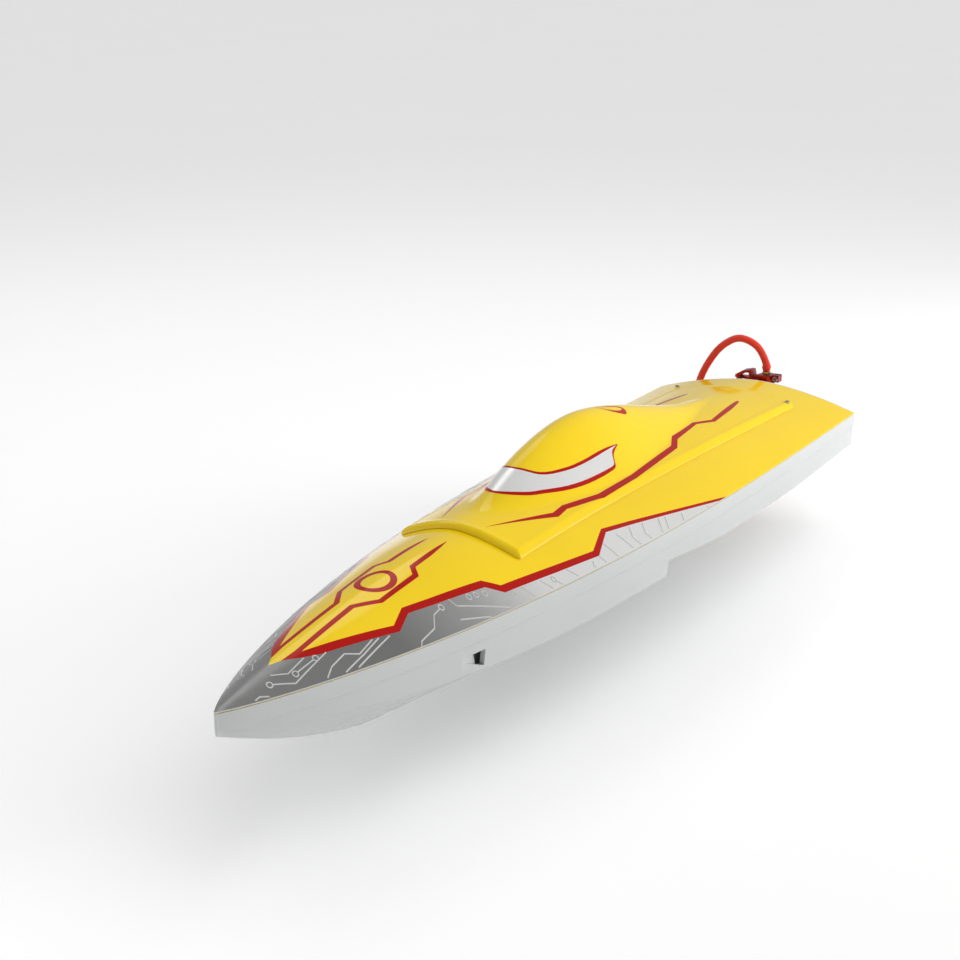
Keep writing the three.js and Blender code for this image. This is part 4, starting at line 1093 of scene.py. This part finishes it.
def even_steps(line, step=1.5):
    """Points at even steps along a bent line."""
    made = []
    for a, b in zip(np.array(line[:-1], float), np.array(line[1:], float)):
        count = max(int(np.linalg.norm(b - a) / step), 1)
        made += [a + (b - a) * k / count for k in range(count)]
    return made + [np.array(line[-1], float)]


def trimmed(line):
    """A line whose ends stop at the rims of the pads that they reach."""
    line = [np.array(point, float) for point in line]
    for end, near in ((0, 1), (-1, -2)):
        if tuple(line[end]) in PADS:
            step = line[near] - line[end]
            line[end] = line[end] + step * PAD_RADIUS / np.linalg.norm(step)
    return line


def make_traces():
    """Generic circuit-like lines on the silver, the same on both sides."""
    lines = [trimmed(line) for line in TRACES]
    border = np.array(BORDER)[::-1]
    for x, straight, reach in CROSS_TRACES:
        edge = float(half_breadth(x)) - 0.5
        width = edge - float(np.interp(x - 8, border[:, 0], border[:, 1])) - 2
        end = (x - 1.2 * (reach - straight) * width - 0.1, edge - reach * width)
        lines.append([(x, edge), (x, edge - straight * width), end])
    pieces = []
    for side in (1, -1):
        for line in lines:
            pieces.append(film("trace", even_steps([(x, side * y) for x, y in line])))
        for x, y in PADS:
            pieces.append(film("pad", circle(x, side * y, PAD_RADIUS, PAD_RADIUS, 24), closed=True))
    whole = merged("printed_lines", pieces)
    whole.data.materials.append(TRACE_PAINT)
    soft_edges(whole, 40)
    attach(whole, "hull")


def merged(name, pieces):
    """One object from the meshes of several."""
    bm = bmesh.new()
    for piece in pieces:
        bm.from_mesh(piece.data)
    mesh = bpy.data.meshes.new(name)
    bm.to_mesh(mesh)
    bm.free()
    for piece in pieces:
        remove(piece)
    return add_object(name, mesh)


# ---- screws and propeller
def make_screw(node_name, start, direction, shank, head_radius, head_height):
    """A socket-head screw: its shank runs back from the face under its head."""
    radius, length = shank
    tip, socket = -length, 0.52 * head_radius
    profile = [
        (0, tip), (0.8 * radius, tip), (radius, tip + 0.4), (radius, 0),
        (0.96 * head_radius, 0), (head_radius, 0.15), (head_radius, 0.8 * head_height),
        (0.88 * head_radius, head_height), (1.1 * socket, head_height, "hex"),
        (socket, 0.92 * head_height, "hex"), (socket, 0.35 * head_height, "hex"), (0, 0.3 * head_height),
    ]
    screw = turned(node_name + "_piece", profile, start, direction, 48)
    finish_piece(screw, node_name + "_piece", node_name, [LOOKS["steel"]], 32)


def make_screws():
    """Every screw, from its shank's radius and length and its head's radius and height."""
    for (x, y), name in zip(HATCH_SCREWS, ("hatch_screw_left", "hatch_screw_right")):
        make_screw(name, (x, y, float(hatch_z(x, y)) + GAP), (0, 0, 1), (0.9, 9), 1.7, 1.1)
    keel = float(keel_z(0, STEP_X))
    for x, name in zip(STRUT_SCREW_X, ("strut_screw_aft", "strut_screw_fore")):
        make_screw(name, (x, 0, keel - 2 - 2 * GAP), (0, 0, -1), (1.5, 8), 2.7, 1.8)
    for i, (y, z) in enumerate(BRACKET_SCREWS):
        make_screw(f"bracket_screw_{i + 1}", (-2 * GAP - 3, y, z), (-1, 0, 0), (1.5, 9), 2.8, 2)
    for i, z in enumerate((-20, -26)):
        start = (PIVOT_X - 2, PIVOT_Y - 5.5 - GAP, z)
        make_screw(f"blade_screw_{i + 1}", start, (0, -1, 0), (1.5, 11.7), 2.6, 1.8)
    start = (PIVOT_X + 3.5 + GAP, PIVOT_Y + 8.6, 9.2)
    make_screw("arm_clamp_screw", start, (1, 0, 0), (1.1, 8), 2.1, 1.6)


PROP_X, PROP_RADIUS, PROP_HUB, PROP_LENGTH, PROP_BORE = -8, 18, 4.2, 12, 2.3
PROP_PITCH, BLADE_HALF_CHORD = 2.6 * PROP_RADIUS, 9


def make_propeller():
    """Two blades of constant pitch with lens-shaped sections."""
    end = PROP_LENGTH / 2
    profile = [
        (PROP_BORE, -end), (PROP_HUB - 1, -end), (PROP_HUB - 0.3, 0.7 - end), (PROP_HUB, 2 - end),
        (PROP_HUB, end - 0.3), (PROP_HUB - 0.3, end), (PROP_BORE, end), (PROP_BORE, -end),
    ]
    propeller = turned("propeller", profile, (PROP_X, 0, SHAFT_Z), (1, 0, 0), 64)
    spread = np.sin(np.linspace(-1, 1, 17) * math.pi / 2)
    for turn in (0, math.pi):
        rings = []
        for r in np.linspace(PROP_HUB - 1, PROP_RADIUS, 36):
            share = float(past(r, PROP_HUB, PROP_RADIUS))
            half = BLADE_HALF_CHORD * math.sqrt(max(1 - 3 * (1.05 * share - 0.45) ** 2, 0.05))
            angle = math.atan2(PROP_PITCH, math.tau * r)
            across = min(half, (end - 0.4) / math.sin(angle))
            thick = (0.9 - 0.5 * share) * (1 - spread ** 2) + 0.04
            u = np.concatenate([spread, spread[::-1]]) * across
            v = np.concatenate([thick, -thick[::-1]])
            axial = u * math.sin(angle) - v * math.cos(angle)
            round_by = (u * math.cos(angle) + v * math.sin(angle)) / r + turn
            y, z = r * np.sin(round_by), SHAFT_Z + r * np.cos(round_by)
            rings.append(np.column_stack([PROP_X + axial, y, z]))
        join(propeller, loft("blade", rings))
    cut(propeller, drilled(PROP_BORE, (PROP_X - 20, 0, SHAFT_Z), (PROP_X + 20, 0, SHAFT_Z)))
    finish_piece(propeller, "propeller_piece", "propeller", [LOOKS["bronze"]], 30)


# ---- cooling hose
HOSE_RADIUS, HOSE_BORE, HOSE_SWELL = 2.7, 1.8, 0.65
HOSE_ROUTE = [
    (-34, -5.7, 14.1), (-33.7, -6.4, 20), (-30.5, -13.5, 33), (-25.4, -25.4, 38.3),
    (-20.4, -36.7, 32), (-16.5, -46, 18), (-14.2, -51.2, 4), (-14, -51.8, -4.6),
]


def make_hose():
    def swell(u):
        """The hose is stretched over the barbs at its two ends."""
        ends = math.exp(-((u - 0.07) / 0.045) ** 2) + 0.7 * math.exp(-((u - 0.97) / 0.03) ** 2)
        return HOSE_RADIUS + HOSE_SWELL * ends

    hose = tube("hose", HOSE_ROUTE, swell, HOSE_BORE, 120, 32)
    finish_piece(hose, "cooling_hose_tube", "cooling_hose", [LOOKS["red_silicone"]])


# ---- carried-over nodes
def edge_shading():
    """A node group that smooths faces and keeps the edges that turn sharply."""
    tree = bpy.data.node_groups.new("edge_shading", "GeometryNodeTree")
    for way in ("INPUT", "OUTPUT"):
        tree.interface.new_socket("Geometry", in_out=way, socket_type="NodeSocketGeometry")
    source = tree.nodes.new("NodeGroupInput")
    clean = tree.nodes.new("GeometryNodeRemoveAttribute")
    clean.inputs["Name"].default_value = "custom_normal"
    faces = tree.nodes.new("GeometryNodeSetShadeSmooth")
    edges = tree.nodes.new("GeometryNodeSetShadeSmooth")
    edges.domain = "EDGE"
    edges.inputs["Shade Smooth"].default_value = False
    chain = [source, clean, faces, edges, tree.nodes.new("NodeGroupOutput")]
    for before, after in zip(chain, chain[1:]):
        tree.links.new(before.outputs["Geometry"], after.inputs["Geometry"])
    angle = tree.nodes.new("GeometryNodeInputMeshEdgeAngle")
    sharp = tree.nodes.new("FunctionNodeCompare")
    sharp.inputs["B"].default_value = math.radians(CREASE_ANGLE)
    tree.links.new(angle.outputs["Unsigned Angle"], sharp.inputs["A"])
    tree.links.new(sharp.outputs["Result"], edges.inputs["Selection"])
    return tree


def dress_nodes():
    """Gives the CAD nodes that show their materials and a fine bevel."""
    shading = edge_shading()
    crease = math.radians(CREASE_ANGLE)
    bevel = {"width": 0.25 * MM, "segments": 2, "limit_method": "ANGLE", "angle_limit": crease}
    for name, obj in frame["nodes"].items():
        if obj.hide_render:
            continue
        obj.data.materials.clear()
        obj.data.materials.append(LOOKS[SLOT_OF[name]])
        set_all(obj.modifiers.new("weld", "WELD"), {"merge_threshold": 1e-6})
        set_all(obj.modifiers.new("edges", "BEVEL"), bevel)
        set_all(obj.modifiers.new("shading", "NODES"), {"node_group": shading})


make_camera()
make_stage()
make_hose()
make_hull()
make_deck()
make_hatch()
make_traces()
make_screws()
make_propeller()
dress_nodes()
